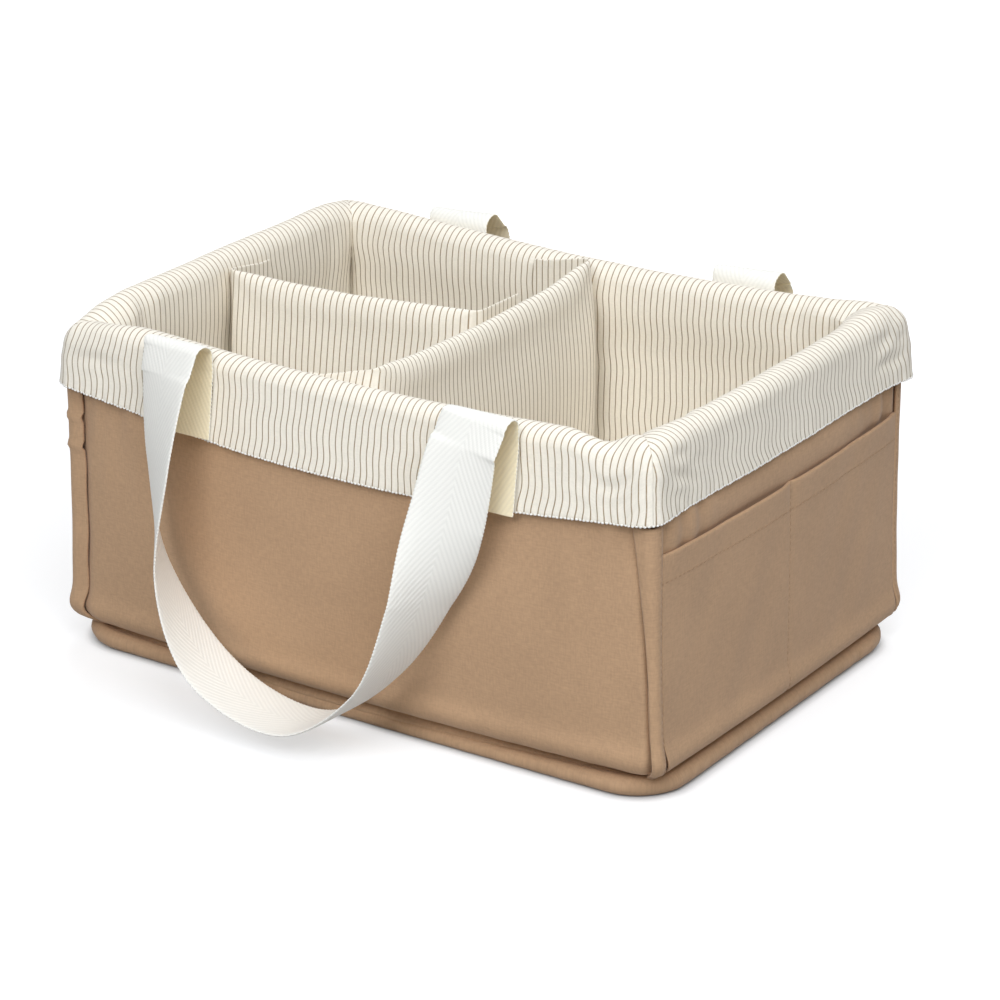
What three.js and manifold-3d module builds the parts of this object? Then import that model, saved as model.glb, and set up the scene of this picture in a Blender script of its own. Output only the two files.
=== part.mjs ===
// Diaper caddy: a padded fabric tray whose striped lining turns down over the rim as a cuff,
// with two lift-out dividers, two webbing handles and a flat double pocket on each end.
// Millimetres, +Z up. The origin is the middle of the underside, +X runs along the long side
// and -Y is the front.

import * as THREE from "three";
import { mergeVertices } from "three/addons/utils/BufferGeometryUtils.js";
import Module from "manifold-3d";

// Driving dimensions: the tray
const bodyLength = 348; // between the outer faces of the end panels
const bodyWidth = 241; // between the outer faces of the front and rear panels
const rimHeight = 183; // top of the rolled lining, at the middle of the end walls
const topCornerRadius = 5; // vertical corners of the walls, from mid height up
const footCornerRadius = 10; // the same corners where the walls meet the base
const footCornerHeight = 20; // height over which the corners tighten
const leastCornerRadius = 2; // sharpest fold of an inner layer
const endSpread = 4.5; // how far the end walls lean out towards the base
const endSpreadHeight = 110; // and the height where that starts
const footTuck = 5; // how far the walls are drawn in at the base seam
const footTuckHeight = 16; // height of that rounding
const rimDip = 3; // the rim sinks this much at its corners
const rimDipShare = 0.3; // share of the half wall over which it does so
const frontRimSag = 4.5; // and at the middle of the long walls
const rearRimSag = 7.5;

// Driving dimensions: how far each kind of wall bows out at its middle
const frontWallBow = { foot: 6, belly: 6, rim: 6, insideFoot: 3 };
const rearWallBow = { foot: 4, belly: 4, rim: 1, insideFoot: 1 };
const endWallBow = { foot: 1.5, belly: 3.5, rim: 1, insideFoot: 0.5 };

// Driving dimensions: the layers of a wall
const layerGap = 0.3; // clearance between neighbouring layers
const cornerGap = 0.22; // each wall stops this short of the corner's mitre
const panelThickness = 1.5;
const padThickness = 12;
const liningThickness = 1.5;
const panelTuck = 1.2; // the panel ends this far under the rolled rim
const cuffEase = 0.5; // the cuff hangs this far off the panel
const cuffFlare = 1.5; // and flares out this much more at its hem
const cuffCornerPuff = 3.5; // the cuff stands out further at its corners
const cuffHemHeight = 146; // hem at the corners
const longHemSag = 10.5; // the hem hangs lower at the middle of the long walls

// Driving dimensions: the base
const baseLipEnds = 6.5; // the base's edge stands out this far past the end panels
const baseLipSides = 2; // and past the front and rear ones
const baseCornerRadius = 30;
const baseEdgeHeight = 10.8;
const baseReturn = 24; // top fold of the base cover, measured in from its edge
const boardThickness = 3;
const boardInset = 6;

// Driving dimensions: corner welts and end pockets
const weltWidth = 10;
const weltProud = 4.5; // stands out past the long wall
const weltThickness = 1.8;
const weltGap = 0.5; // clearance to the walls, whose corner is turned
const weltTopGap = 2.5; // ends this far below the cuff hem
const pocketThickness = 1.5;
const pocketHeight = 127;
const pocketGape = 2; // the mouth stands open this much

// Driving dimensions: the handles
const webbingWidth = 38;
const webbingThickness = 2;
const handleSpacing = 180; // between the middles of a handle's two tabs
const frontHandleShift = -3; // the handles are sewn a little left of the middle
const rearHandleShift = -11;
const tabRise = 0.8; // the tabs end this far above the middle of the rolled rim
const foldRise = 6.5; // straight webbing between a tab and its fold
const foldRadius = 5; // middle of the webbing's thickness
const handleBottom = 13; // middle of the hanging loop's lowest place
const handleSwing = 21; // how far that place hangs out from the folds

// A hanging handle, from its left leg to its right one: place across as a share of half the
// spacing, share of the swing, share of the drop's height, and the turn of the band in degrees,
// where 0 lies flat with its width front to back and 90 faces the front.
const handleRoute = [
  [-1, 0, 1, -90],
  [-1, 0.1, 0.93, -84],
  [-1, 0.52, 0.72, -58],
  [-0.968, 0.69, 0.375, -30],
  [-0.604, 0.88, 0.08, -2],
  [0.02, 1, 0, 4],
  [0.492, 0.88, 0.184, 5],
  [0.75, 0.67, 0.475, 22],
  [0.9, 0.5, 0.75, 56],
  [0.98, 0.1, 0.93, 84],
  [1, 0, 1, 90],
];

// Driving dimensions: the dividers
const dividerThickness = 14;
const coverThickness = 1.5;
const dividerTop = 176.5;
const dividerSag = 1; // the top edge sinks at its middle
const dividerLift = 0.5; // clearance over the floor
const coreEndGap = 8; // unpadded end of a divider before its flap
const flapWidth = 30;
const flapShort = 1; // a flap ends this far below the divider's top
const crossDividerPlace = 0; // along X
const shortDividerLeft = -11; // place along Y at the left wall
const shortDividerRight = 8; // and at the cross divider
const tapeThickness = 0.8;
const tapeWidth = 16;
const tapeInset = 8; // from the divider's face to its tape

// Mesh fineness
const straightSteps = 3; // per half wall
const cornerSteps = 2; // per half corner
const wallSteps = 4; // up a wall, above the tuck at its foot
const arcSteps = 6; // rim roll and webbing fold
const baseCornerSteps = 4;
const handleSteps = 34;

// Colours
const tan = { color: 0xb1926f, roughness: 0.85 };
const striped = { color: 0xe6dfd2, roughness: 0.9 };
const webbing = { color: 0xf1efe6, roughness: 0.8 };
const foam = { color: 0xe9e6dc, roughness: 0.95 };
const board = { color: 0xb9a888, roughness: 0.9 };
const tape = { color: 0xe8e2d4, roughness: 1 };

// Layer places, as offsets outward from the panel's outer face
const panelInside = -panelThickness;
const padOutside = panelInside - layerGap;
const padInside = padOutside - padThickness;
const liningOutside = padInside - layerGap;
const liningInside = liningOutside - liningThickness;
const liningMiddle = (liningOutside + liningInside) / 2;
const cuffMiddle = cuffEase + liningThickness / 2;
const rollRadius = (cuffMiddle - liningMiddle) / 2;
const rollCentre = (cuffMiddle + liningMiddle) / 2;
const rollHeight = rimHeight - rollRadius - liningThickness / 2;
const padMiddle = (padOutside + padInside) / 2;
const wallFoot = baseEdgeHeight + layerGap;
const wallTapeOutside = liningInside - layerGap;
const wallTapeInside = wallTapeOutside - tapeThickness;
const hookTapeOutside = wallTapeInside - layerGap;
const hookTapeInside = hookTapeOutside - tapeThickness;
const flapOutside = hookTapeInside - layerGap;
const flapInside = flapOutside - coverThickness;
const flapMiddle = (flapOutside + flapInside) / 2;
const dividerFoot = baseEdgeHeight + dividerLift;

const baseLength = bodyLength + 2 * baseLipEnds;
const baseWidth = bodyWidth + 2 * baseLipSides;

const upward = new THREE.Vector3(0, 0, 1);
const quarterTurn = Math.PI / 2;
const crownAngles = [1, 3, 5, 7].map((eighth) => (eighth * Math.PI) / 8); // over a rounded top
const longWall = { isEnd: false, hemSag: longHemSag };
const endWall = { isEnd: true, hemSag: 0, bow: endWallBow, rimSag: 0 };
const walls = {
  front: { ...longWall, bow: frontWallBow, rimSag: frontRimSag, turn: 0 },
  right: { ...endWall, turn: quarterTurn },
  rear: { ...longWall, bow: rearWallBow, rimSag: rearRimSag, turn: 2 * quarterTurn },
  left: { ...endWall, turn: -quarterTurn },
};

const wasm = await Module();
wasm.setup();

const caddy = new THREE.Group();

// Small helpers

function steps(count) {
  return Array.from({ length: count + 1 }, (_, k) => k / count);
}

function mix(a, b, share) {
  return a + (b - a) * share;
}

function clamp01(value) {
  return Math.min(Math.max(value, 0), 1);
}

function add(group, name, geometry, finish) {
  const mesh = new THREE.Mesh(geometry, new THREE.MeshStandardMaterial({ ...finish, metalness: 0 }));
  mesh.name = name;
  group.add(mesh);
}

function addGroup(name) {
  const group = new THREE.Group();
  group.name = name;
  caddy.add(group);
  return group;
}

function meshOf(positions, faces) {
  const geometry = new THREE.BufferGeometry();
  geometry.setAttribute("position", new THREE.Float32BufferAttribute(positions, 3));
  geometry.setIndex(faces);
  return geometry;
}

function signedVolume(geometry) {
  const places = geometry.attributes.position;
  const index = geometry.index.array;
  const [a, b, c] = [new THREE.Vector3(), new THREE.Vector3(), new THREE.Vector3()];
  let volume = 0;
  for (let k = 0; k < index.length; k += 3) {
    a.fromBufferAttribute(places, index[k]);
    b.fromBufferAttribute(places, index[k + 1]);
    c.fromBufferAttribute(places, index[k + 2]);
    volume += a.dot(b.cross(c)) / 6;
  }
  return volume;
}

// A closed body through rings of points. Each ring goes up one side and comes back down the
// other, so both end caps are strips between opposite points. Opposite faces are split along the
// same diagonal, so that neighbouring layers keep their clearance where the walls twist.
function loft(rings) {
  const count = rings[0].length;
  const last = (rings.length - 1) * count;
  const faces = [];
  const quad = (a, b, c, d) => faces.push(a, b, c, a, c, d);
  for (let start = 0; start < last; start += count) {
    for (let j = 0; j < count; j += 1) {
      const next = (j + 1) % count;
      const corners = [start + j, start + next, start + count + next, start + count + j];
      const isUpSide = j < count / 2;
      quad(...(isUpSide ? corners : [...corners.slice(1), corners[0]]));
    }
  }
  for (let j = 0; j < count / 2 - 1; j += 1) {
    const opposite = count - 1 - j;
    quad(j, opposite, opposite - 1, j + 1);
    quad(last + j, last + j + 1, last + opposite - 1, last + opposite);
  }
  const geometry = meshOf(rings.flat().flatMap((point) => point.toArray()), faces);
  if (signedVolume(geometry) < 0) {
    geometry.setIndex(faces.reverse());
  }
  return geometry;
}

function solidOf(geometry) {
  const bare = new THREE.BufferGeometry();
  bare.setAttribute("position", geometry.attributes.position);
  bare.setIndex(geometry.index);
  const merged = mergeVertices(bare);
  const vertProperties = new Float32Array(merged.attributes.position.array);
  const triVerts = new Uint32Array(merged.index.array);
  return new wasm.Manifold(new wasm.Mesh({ numProp: 3, vertProperties, triVerts }));
}

function geometryOf(solid) {
  const mesh = solid.getMesh();
  return meshOf(Array.from(mesh.vertProperties), Array.from(mesh.triVerts));
}

// The wall surface that every layer follows

function footTuckAt(z) {
  const share = clamp01((z - wallFoot) / footTuckHeight);
  return -footTuck * (1 - Math.sqrt(1 - (1 - share) ** 2));
}

function cornerRadiusAt(n, z) {
  const share = clamp01((z - wallFoot) / footCornerHeight);
  const panelRadius = mix(topCornerRadius, footCornerRadius, (1 - share) ** 2);
  return Math.max(panelRadius + n, leastCornerRadius);
}

// Share of the way out from the lining to the panel. The lining stays upright and flatter than
// the panel, and the pad fills between.
function depthShare(n) {
  return clamp01((n - liningOutside) / (padOutside - liningOutside));
}

// Half the tray's length and half its width, at an offset from the panels' outer faces.
function halfLengthAt(n, z) {
  const spread = endSpread * clamp01(1 - z / endSpreadHeight) ** 2;
  return bodyLength / 2 + n + spread * depthShare(n) + footTuckAt(z);
}

function halfWidthAt(n, z) {
  return bodyWidth / 2 + n + footTuckAt(z);
}

// Straight half of a wall, and the half with its part of the corner's arc.
function straightHalf(wall, n, z) {
  const half = wall.isEnd ? halfWidthAt(n, z) : halfLengthAt(n, z);
  return half - cornerRadiusAt(n, z);
}

function wallReach(wall, n, z) {
  return straightHalf(wall, n, z) + (cornerRadiusAt(n, z) * Math.PI) / 4;
}

// Outward bow of a wall, widest at its middle.
function bowAt(wall, share, n, z) {
  const height = clamp01((z - wallFoot) / (rollHeight - wallFoot));
  const inside = mix(wall.bow.insideFoot, wall.bow.rim, height);
  const outside = mix(wall.bow.foot, wall.bow.rim, height) + wall.bow.belly * 4 * height * (1 - height);
  return mix(inside, outside, depthShare(n)) * (1 - share ** 2);
}

// A point on a wall: s along it from its middle, n outward from the panel's face, z up.
function onWall(wall, s, n, z) {
  const radius = cornerRadiusAt(n, z);
  const straight = straightHalf(wall, n, z);
  const reach = wallReach(wall, n, z);
  const share = Math.min(Math.abs(s) / reach, 1);
  const angle = Math.max(Math.abs(s) - straight, 0) / radius;
  const along = Math.sign(s) * (Math.min(Math.abs(s), straight) + radius * Math.sin(angle));
  const face = wall.isEnd ? halfLengthAt(n, z) : halfWidthAt(n, z);
  const out = face - radius * (1 - Math.cos(angle)) + bowAt(wall, share, n, z);
  const rimSink = rimDip * clamp01((share - 1) / rimDipShare + 1) ** 2 + wall.rimSag * (1 - share ** 2);
  const height = z - rimSink * (z / rimHeight) ** 4;
  const point = new THREE.Vector3(along * (1 - cornerGap / reach), -out, height);
  return point.applyAxisAngle(upward, wall.turn);
}

function outwardOf(wall) {
  return new THREE.Vector3(0, -1, 0).applyAxisAngle(upward, wall.turn);
}

function alongOf(wall) {
  return new THREE.Vector3(1, 0, 0).applyAxisAngle(upward, wall.turn);
}

// Distance of a wall surface from the tray's middle plane.
function faceDistance(wall, s, n, z) {
  return onWall(wall, s, n, z).dot(outwardOf(wall));
}

// Places along a whole wall: even steps on the straight, then round each half corner.
function stations(wall, n, z) {
  const straight = straightHalf(wall, n, z);
  const arc = wallReach(wall, n, z) - straight;
  const half = steps(straightSteps).map((share) => share * straight);
  const corner = steps(cornerSteps).slice(1).map((share) => straight + share * arc);
  const right = [...half, ...corner];
  return [...right.slice(1).reverse().map((s) => -s), ...right];
}

// Heights up a wall: close together on the tuck at the foot, then even. Every layer uses them.
const wallHeights = [
  ...[0, 0.2, 0.5].map((share) => wallFoot + share * footTuckHeight),
  ...steps(wallSteps).map((share) => mix(wallFoot + footTuckHeight, rollHeight, share)),
];

function heightsTo(top) {
  return [...wallHeights.filter((z) => z < top), top];
}

// A layer over a whole wall. The section gives [n, z] pairs for a place's share of the half wall.
function wallLayer(wall, section) {
  const count = stations(wall, 0, rimHeight).length;
  const rings = Array.from({ length: count }, (_, k) => {
    const share = stations(wall, 0, cuffHemHeight)[k] / wallReach(wall, 0, cuffHemHeight);
    return section(share).map(([n, z]) => onWall(wall, stations(wall, n, z)[k], n, z));
  });
  return loft(rings);
}

// A strip on part of a wall, between two offsets, with its places along given by a function of z.
function wallStrip(wall, places, insideOf, outsideOf, levels) {
  const rings = places.map((placeAt) => [
    ...levels.map((z) => onWall(wall, placeAt(z), insideOf(placeAt(z), z), z)),
    ...levels.toReversed().map((z) => onWall(wall, placeAt(z), outsideOf(placeAt(z), z), z)),
  ]);
  return loft(rings);
}

// Walls: panel, pad and lining

function panel(wall) {
  const levels = heightsTo(rollHeight - panelTuck);
  return wallLayer(wall, () => [
    ...levels.map((z) => [0, z]),
    ...levels.toReversed().map((z) => [panelInside, z]),
  ]);
}

function pad(wall) {
  const radius = padThickness / 2;
  const crown = crownAngles.map((angle) => {
    return [padMiddle + radius * Math.cos(angle), rollHeight + radius * Math.sin(angle)];
  });
  return wallLayer(wall, () => [
    ...wallHeights.map((z) => [padOutside, z]),
    ...crown,
    ...wallHeights.toReversed().map((z) => [padInside, z]),
  ]);
}

function hemHeightAt(wall, share) {
  return cuffHemHeight - wall.hemSag * (1 - share ** 2);
}

// The lining runs up the inside, rolls over the rim and comes down outside as the cuff. The
// side is 1 for the face away from the roll and -1 for the face next to the pad.
function liningFace(wall, share, side) {
  const half = (side * liningThickness) / 2;
  const puff = cuffCornerPuff * share ** 6;
  const inside = wallHeights.map((z) => [liningMiddle - half, z]);
  const roll = steps(arcSteps).slice(1).map((turn) => {
    const angle = Math.PI * (1 - turn);
    const radius = rollRadius + half;
    const n = rollCentre + radius * Math.cos(angle) + puff * turn ** 2;
    return [n, rollHeight + radius * Math.sin(angle)];
  });
  const cuff = steps(2).slice(1).map((drop) => [
    cuffMiddle + half + puff + cuffFlare * drop ** 2,
    mix(rollHeight, hemHeightAt(wall, share), drop),
  ]);
  return [...inside, ...roll, ...cuff];
}

function lining(wall) {
  return wallLayer(wall, (share) => [
    ...liningFace(wall, share, 1),
    ...liningFace(wall, share, -1).toReversed(),
  ]);
}

const wallGroup = addGroup("walls");
for (const [side, wall] of Object.entries(walls)) {
  add(wallGroup, `${side}_panel`, panel(wall), tan);
  add(wallGroup, `${side}_pad`, pad(wall), foam);
  add(wallGroup, `${side}_lining`, lining(wall), striped);
}

// Corner welts: seam strips on the end walls that stand out past the long walls

// A point of a welt: step 0 is its edge on the end wall, the next ones go round the half corner
// and the last is the free edge past the long wall.
const weltSteps = cornerSteps + 2;

function weltPoint(wall, sign, step, n, z) {
  const reach = wallReach(wall, n, z);
  const arc = Math.min(reach - straightHalf(wall, n, z), weltWidth * cornerSteps / (cornerSteps + 1));
  const round = clamp01((weltSteps - 1 - step) / cornerSteps);
  const distance = step === 0 ? weltWidth : arc * round;
  const past = step === weltSteps ? weltProud : 0;
  return onWall(wall, sign * (reach - distance), n, z).addScaledVector(alongOf(wall), sign * past);
}

function cornerWelt(wall, sign) {
  const across = Array.from({ length: weltSteps + 1 }, (_, step) => step);
  const inOrder = sign > 0 ? across : across.toReversed();
  const levels = heightsTo(cuffHemHeight - weltTopGap);
  const rings = inOrder.map((step) => [
    ...levels.map((z) => weltPoint(wall, sign, step, weltGap, z)),
    ...levels.toReversed().map((z) => weltPoint(wall, sign, step, weltGap + weltThickness, z)),
  ]);
  return loft(rings);
}

const trimGroup = addGroup("trim");
add(trimGroup, "corner_welt_front_right", cornerWelt(walls.right, -1), tan);
add(trimGroup, "corner_welt_rear_right", cornerWelt(walls.right, 1), tan);
add(trimGroup, "corner_welt_front_left", cornerWelt(walls.left, 1), tan);
add(trimGroup, "corner_welt_rear_left", cornerWelt(walls.left, -1), tan);

// End pockets: one cloth sewn down its middle, so that two mouths gape a little

function pocket(wall) {
  const halfAt = (z) => wallReach(wall, 0, z) - weltWidth - 2 * layerGap;
  const gapeAt = (s, z) => {
    const rise = clamp01((z - wallFoot) / (pocketHeight - wallFoot));
    return pocketGape * rise ** 2 * Math.sin((Math.PI * Math.abs(s)) / halfAt(z));
  };
  const flatAt = (z) => Math.min(straightHalf(wall, 0, z), halfAt(z) - pocketThickness);
  const right = [...steps(straightSteps).map((share) => (z) => share * flatAt(z)), halfAt];
  const left = right.slice(1).toReversed().map((placeAt) => (z) => -placeAt(z));
  const places = [...left, ...right];
  const insideOf = (s, z) => layerGap + gapeAt(s, z);
  const outsideOf = (s, z) => insideOf(s, z) + pocketThickness;
  return wallStrip(wall, places, insideOf, outsideOf, heightsTo(pocketHeight));
}

add(trimGroup, "left_pocket", pocket(walls.left), tan);
add(trimGroup, "right_pocket", pocket(walls.right), tan);

// Base: a fabric cover with a padded edge, a stiff board, a pad and the lining floor

function baseLoop(inset, z) {
  const radius = Math.max(baseCornerRadius - inset, leastCornerRadius);
  const centreX = baseLength / 2 - inset - radius;
  const centreY = baseWidth / 2 - inset - radius;
  const corners = [
    [1, -1, -quarterTurn],
    [1, 1, 0],
    [-1, 1, quarterTurn],
    [-1, -1, 2 * quarterTurn],
  ];
  return corners.flatMap(([signX, signY, from]) => steps(baseCornerSteps).map((share) => {
    const angle = from + share * quarterTurn;
    const x = signX * centreX + radius * Math.cos(angle);
    const y = signY * centreY + radius * Math.sin(angle);
    return new THREE.Vector3(x, y, z);
  }));
}

function basePlate(inset, foot, top) {
  return loft([baseLoop(inset, foot), baseLoop(inset, top)]);
}

// Half-round edge of the base cover, at one radius about the edge's middle line.
function baseEdge(radius) {
  const middle = baseEdgeHeight / 2;
  return steps(arcSteps).map((share) => {
    const angle = Math.PI * (share - 0.5);
    return baseLoop(middle - radius * Math.cos(angle), middle + radius * Math.sin(angle));
  });
}

const baseGroup = addGroup("base");
const coverInside = baseEdgeHeight - panelThickness;
const boardFoot = panelThickness + layerGap;
const boardTop = boardFoot + boardThickness;
add(baseGroup, "base_panel", loft([
  ...baseEdge(baseEdgeHeight / 2),
  baseLoop(baseReturn, baseEdgeHeight),
  baseLoop(baseReturn, coverInside),
  ...baseEdge(baseEdgeHeight / 2 - panelThickness).toReversed(),
]), tan);
add(baseGroup, "base_board", basePlate(boardInset, boardFoot, boardTop), board);
add(baseGroup, "base_pad", basePlate(boardInset, boardTop + layerGap, coverInside - layerGap), foam);
add(baseGroup, "base_lining", basePlate(baseReturn + layerGap, coverInside, baseEdgeHeight), striped);

// Handles: sewn tabs, 180 degree folds and a hanging loop with a turn in each leg

// A flat band through places that each have a point, a direction along and a direction across.
function band(places) {
  return loft(places.map(({ point, along, across }) => {
    const wide = across.clone().multiplyScalar(webbingWidth / 2);
    const thick = along.clone().cross(across).normalize().multiplyScalar(webbingThickness / 2);
    return [[1, 1], [-1, 1], [-1, -1], [1, -1]].map(([w, t]) => {
      return point.clone().addScaledVector(wide, w).addScaledVector(thick, t);
    });
  }));
}

// A band that keeps its width along the wall and follows [out, z] pairs.
function straightBand(wall, s, route) {
  const across = alongOf(wall);
  const points = route.map(([out, z]) => {
    return new THREE.Vector3(0, 0, z).addScaledVector(outwardOf(wall), out).addScaledVector(across, s);
  });
  return band(points.map((point, k) => {
    const before = points[Math.max(k - 1, 0)];
    const after = points[Math.min(k + 1, points.length - 1)];
    return { point, along: after.clone().sub(before).normalize(), across };
  }));
}

// Middle of a tab's thickness where it lies on the cuff, as a distance for a share of the drop.
function tabOutAt(wall, s, drop) {
  const share = s / wallReach(wall, 0, cuffHemHeight);
  const z = mix(rollHeight, hemHeightAt(wall, share), drop);
  const n = cuffMiddle + liningThickness / 2 + cuffFlare * drop ** 2;
  const edges = [s - webbingWidth / 2, s, s + webbingWidth / 2];
  const face = Math.max(...edges.map((edge) => faceDistance(wall, edge, n, z)));
  return [face + layerGap + webbingThickness / 2, onWall(wall, s, n, z).z];
}

// A tab follows the cuff up from its hem and ends upright, at the place both tabs share.
function tabRoute(wall, s, tabOut, tabTop) {
  const leaves = tabOutAt(wall, s, 0)[0];
  const onCuff = steps(4).toReversed().map((drop) => {
    const [out, z] = tabOutAt(wall, s, drop);
    return [out + (tabOut - leaves) * (1 - drop), z];
  });
  return [...onCuff, [tabOut, tabTop]];
}

function foldRoute(tabOut, tabTop) {
  const foot = tabTop + layerGap;
  const arc = steps(2 * arcSteps).map((share) => {
    const angle = Math.PI * (1 - share);
    return [
      tabOut + foldRadius + foldRadius * Math.cos(angle),
      foot + foldRise + foldRadius * Math.sin(angle),
    ];
  });
  return [[tabOut, foot], ...arc, [tabOut + 2 * foldRadius, foot]];
}

// The loop hangs in a smooth curve through its route, and the band turns with it.
function handleLoop(wall, middle, legOut, legTop) {
  const outward = outwardOf(wall);
  const sideways = new THREE.Vector3(1, 0, 0);
  const centres = handleRoute.map(([share, swing, height]) => {
    const z = mix(handleBottom, legTop, height);
    const x = middle + (share * handleSpacing) / 2;
    return new THREE.Vector3(x, 0, z).addScaledVector(outward, legOut + swing * handleSwing);
  });
  const widths = handleRoute.map(([, , , degrees]) => {
    const turn = THREE.MathUtils.degToRad(degrees);
    return outward.clone().multiplyScalar(Math.cos(turn)).addScaledVector(sideways, -Math.sin(turn));
  });
  const route = new THREE.CatmullRomCurve3(centres);
  const turning = new THREE.CatmullRomCurve3(widths);
  return band(steps(handleSteps).map((t) => {
    const isEnd = t === 0 || t === 1;
    const along = isEnd ? upward.clone().multiplyScalar(t === 0 ? -1 : 1) : route.getTangent(t);
    const across = turning.getPoint(t);
    across.addScaledVector(along, -across.dot(along)).normalize();
    return { point: route.getPoint(t), along, across };
  }));
}

const handleGroup = addGroup("handles");
for (const [side, shift] of [["front", frontHandleShift], ["rear", rearHandleShift]]) {
  const wall = walls[side];
  const alongX = alongOf(wall).x;
  const places = [-1, 1].map((sign) => alongX * (shift + (sign * handleSpacing) / 2));
  const rim = places.map((s) => tabOutAt(wall, s, 0));
  const tabOut = Math.max(...rim.map(([out]) => out));
  const tabTop = Math.max(...rim.map(([, z]) => z)) + tabRise;
  ["left", "right"].forEach((hand, k) => {
    const tab = straightBand(wall, places[k], tabRoute(wall, places[k], tabOut, tabTop));
    const fold = straightBand(wall, places[k], foldRoute(tabOut, tabTop));
    add(handleGroup, `${side}_handle_${hand}_tab`, tab, webbing);
    add(handleGroup, `${side}_handle_${hand}_fold`, fold, webbing);
  });
  const loop = handleLoop(wall, shift, tabOut + 2 * foldRadius, tabTop);
  add(handleGroup, `${side}_handle`, loop, webbing);
}

// Dividers: a foam core in a sleeve with a flap at each end

const halfDivider = dividerThickness / 2;
const coreHalf = halfDivider - coverThickness - layerGap;

// Heights where a divider's ends follow the tuck of the walls.
const tuckHeights = wallHeights.slice(1, 4);

// A slab with a rounded top. The place function takes a share along (-1 to 1), an offset across
// and a height, and the slab stands between foot and top.
function slab(placeAt, half, foot, top, endShare) {
  const rings = steps(4).map((step) => {
    const share = (2 * step - 1);
    const crest = top - dividerSag * (1 - share ** 2) - half;
    const levels = [foot, ...tuckHeights, crest];
    const crown = crownAngles.map((angle) => {
      return [-half * Math.cos(angle), crest + half * Math.sin(angle)];
    });
    return [
      ...levels.map((z) => placeAt(share, -half, z, endShare)),
      ...crown.map(([offset, z]) => placeAt(share, offset, z, endShare)),
      ...levels.toReversed().map((z) => placeAt(share, half, z, endShare)),
    ];
  });
  return loft(rings);
}

// Sleeve with an open foot, joined to its flaps.
function dividerCover(placeAt, flaps) {
  const outer = solidOf(slab(placeAt, halfDivider, dividerFoot, dividerTop, 0));
  const hollowHalf = halfDivider - coverThickness;
  const hollowTop = dividerTop - coverThickness;
  const hollowFoot = dividerFoot - dividerThickness;
  const hollow = solidOf(slab(placeAt, hollowHalf, hollowFoot, hollowTop, coreEndGap - layerGap));
  const sleeve = outer.subtract(hollow);
  return geometryOf(flaps.reduce((whole, flap) => whole.add(solidOf(flap)), sleeve));
}

function dividerCore(placeAt) {
  const top = dividerTop - coverThickness - layerGap;
  return slab(placeAt, coreHalf, dividerFoot, top, coreEndGap);
}

const flapTop = dividerTop - flapShort;
const flapLevels = heightsTo(flapTop).filter((z) => z > dividerFoot);

// Tapes run up the walls' even heights and stop short of the rim.
const tapeLevels = wallHeights.slice(-wallSteps - 1, -1);

// A flap, a hook tape and a loop tape on a wall, from a divider's face along the wall.
function wallFlap(wall, from, to) {
  const places = steps(4).map((share) => () => mix(from, to, share));
  return wallStrip(wall, places, () => flapInside, () => flapOutside, flapLevels);
}

function wallTape(wall, from, sign, inside, outside) {
  const places = steps(2).map((share) => () => from + sign * (tapeInset + share * tapeWidth));
  return wallStrip(wall, places, () => inside, () => outside, tapeLevels);
}

// The cross divider runs front to rear, and its flaps turn to the left.
function crossPlace(share, offset, z, endGap) {
  const wall = share < 0 ? walls.front : walls.rear;
  const s = crossDividerPlace * alongOf(wall).x;
  const reach = faceDistance(wall, s, flapMiddle, Math.max(z, wallFoot)) - endGap;
  return new THREE.Vector3(crossDividerPlace + offset, share * reach, z);
}

const crossLeft = crossDividerPlace - halfDivider;
const crossRight = crossDividerPlace + halfDivider;
const crossGroup = addGroup("cross_divider");
add(crossGroup, "cross_divider_cover", dividerCover(crossPlace, [
  wallFlap(walls.front, crossLeft - flapWidth, crossRight),
  wallFlap(walls.rear, -crossRight, flapWidth - crossLeft),
]), striped);
add(crossGroup, "cross_divider_core", dividerCore(crossPlace), foam);
for (const [side, sign] of [["front", -1], ["rear", 1]]) {
  const wall = walls[side];
  const from = -sign * crossLeft;
  const hook = wallTape(wall, from, sign, hookTapeInside, hookTapeOutside);
  const loop = wallTape(wall, from, sign, wallTapeInside, wallTapeOutside);
  add(crossGroup, `cross_divider_${side}_hook_tape`, hook, tape);
  add(crossGroup, `${side}_wall_loop_tape`, loop, tape);
}

// The short divider runs from the left wall to the cross divider, and its flaps turn to the rear.
const crossTapeFace = crossLeft - layerGap;
const hookFace = crossTapeFace - tapeThickness - layerGap;
const flapFace = hookFace - tapeThickness - layerGap;

function shortPlace(share, offset, z, endGap) {
  const leftEnd = -faceDistance(walls.left, -shortDividerLeft, flapMiddle, Math.max(z, wallFoot)) + endGap;
  const rightEnd = flapFace - coverThickness / 2 - endGap;
  const start = new THREE.Vector2(leftEnd, shortDividerLeft);
  const end = new THREE.Vector2(rightEnd, shortDividerRight);
  const aside = end.clone().sub(start).normalize();
  const point = start.lerp(end, (share + 1) / 2);
  return new THREE.Vector3(point.x - offset * aside.y, point.y + offset * aside.x, z);
}

// A flat upright sheet against the cross divider, between two places along Y.
function uprightSheet(face, thickness, fromY, toY, levels) {
  const rings = [fromY, toY].map((y) => [
    ...levels.map((z) => new THREE.Vector3(face, y, z)),
    ...levels.toReversed().map((z) => new THREE.Vector3(face - thickness, y, z)),
  ]);
  return loft(rings);
}

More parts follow.
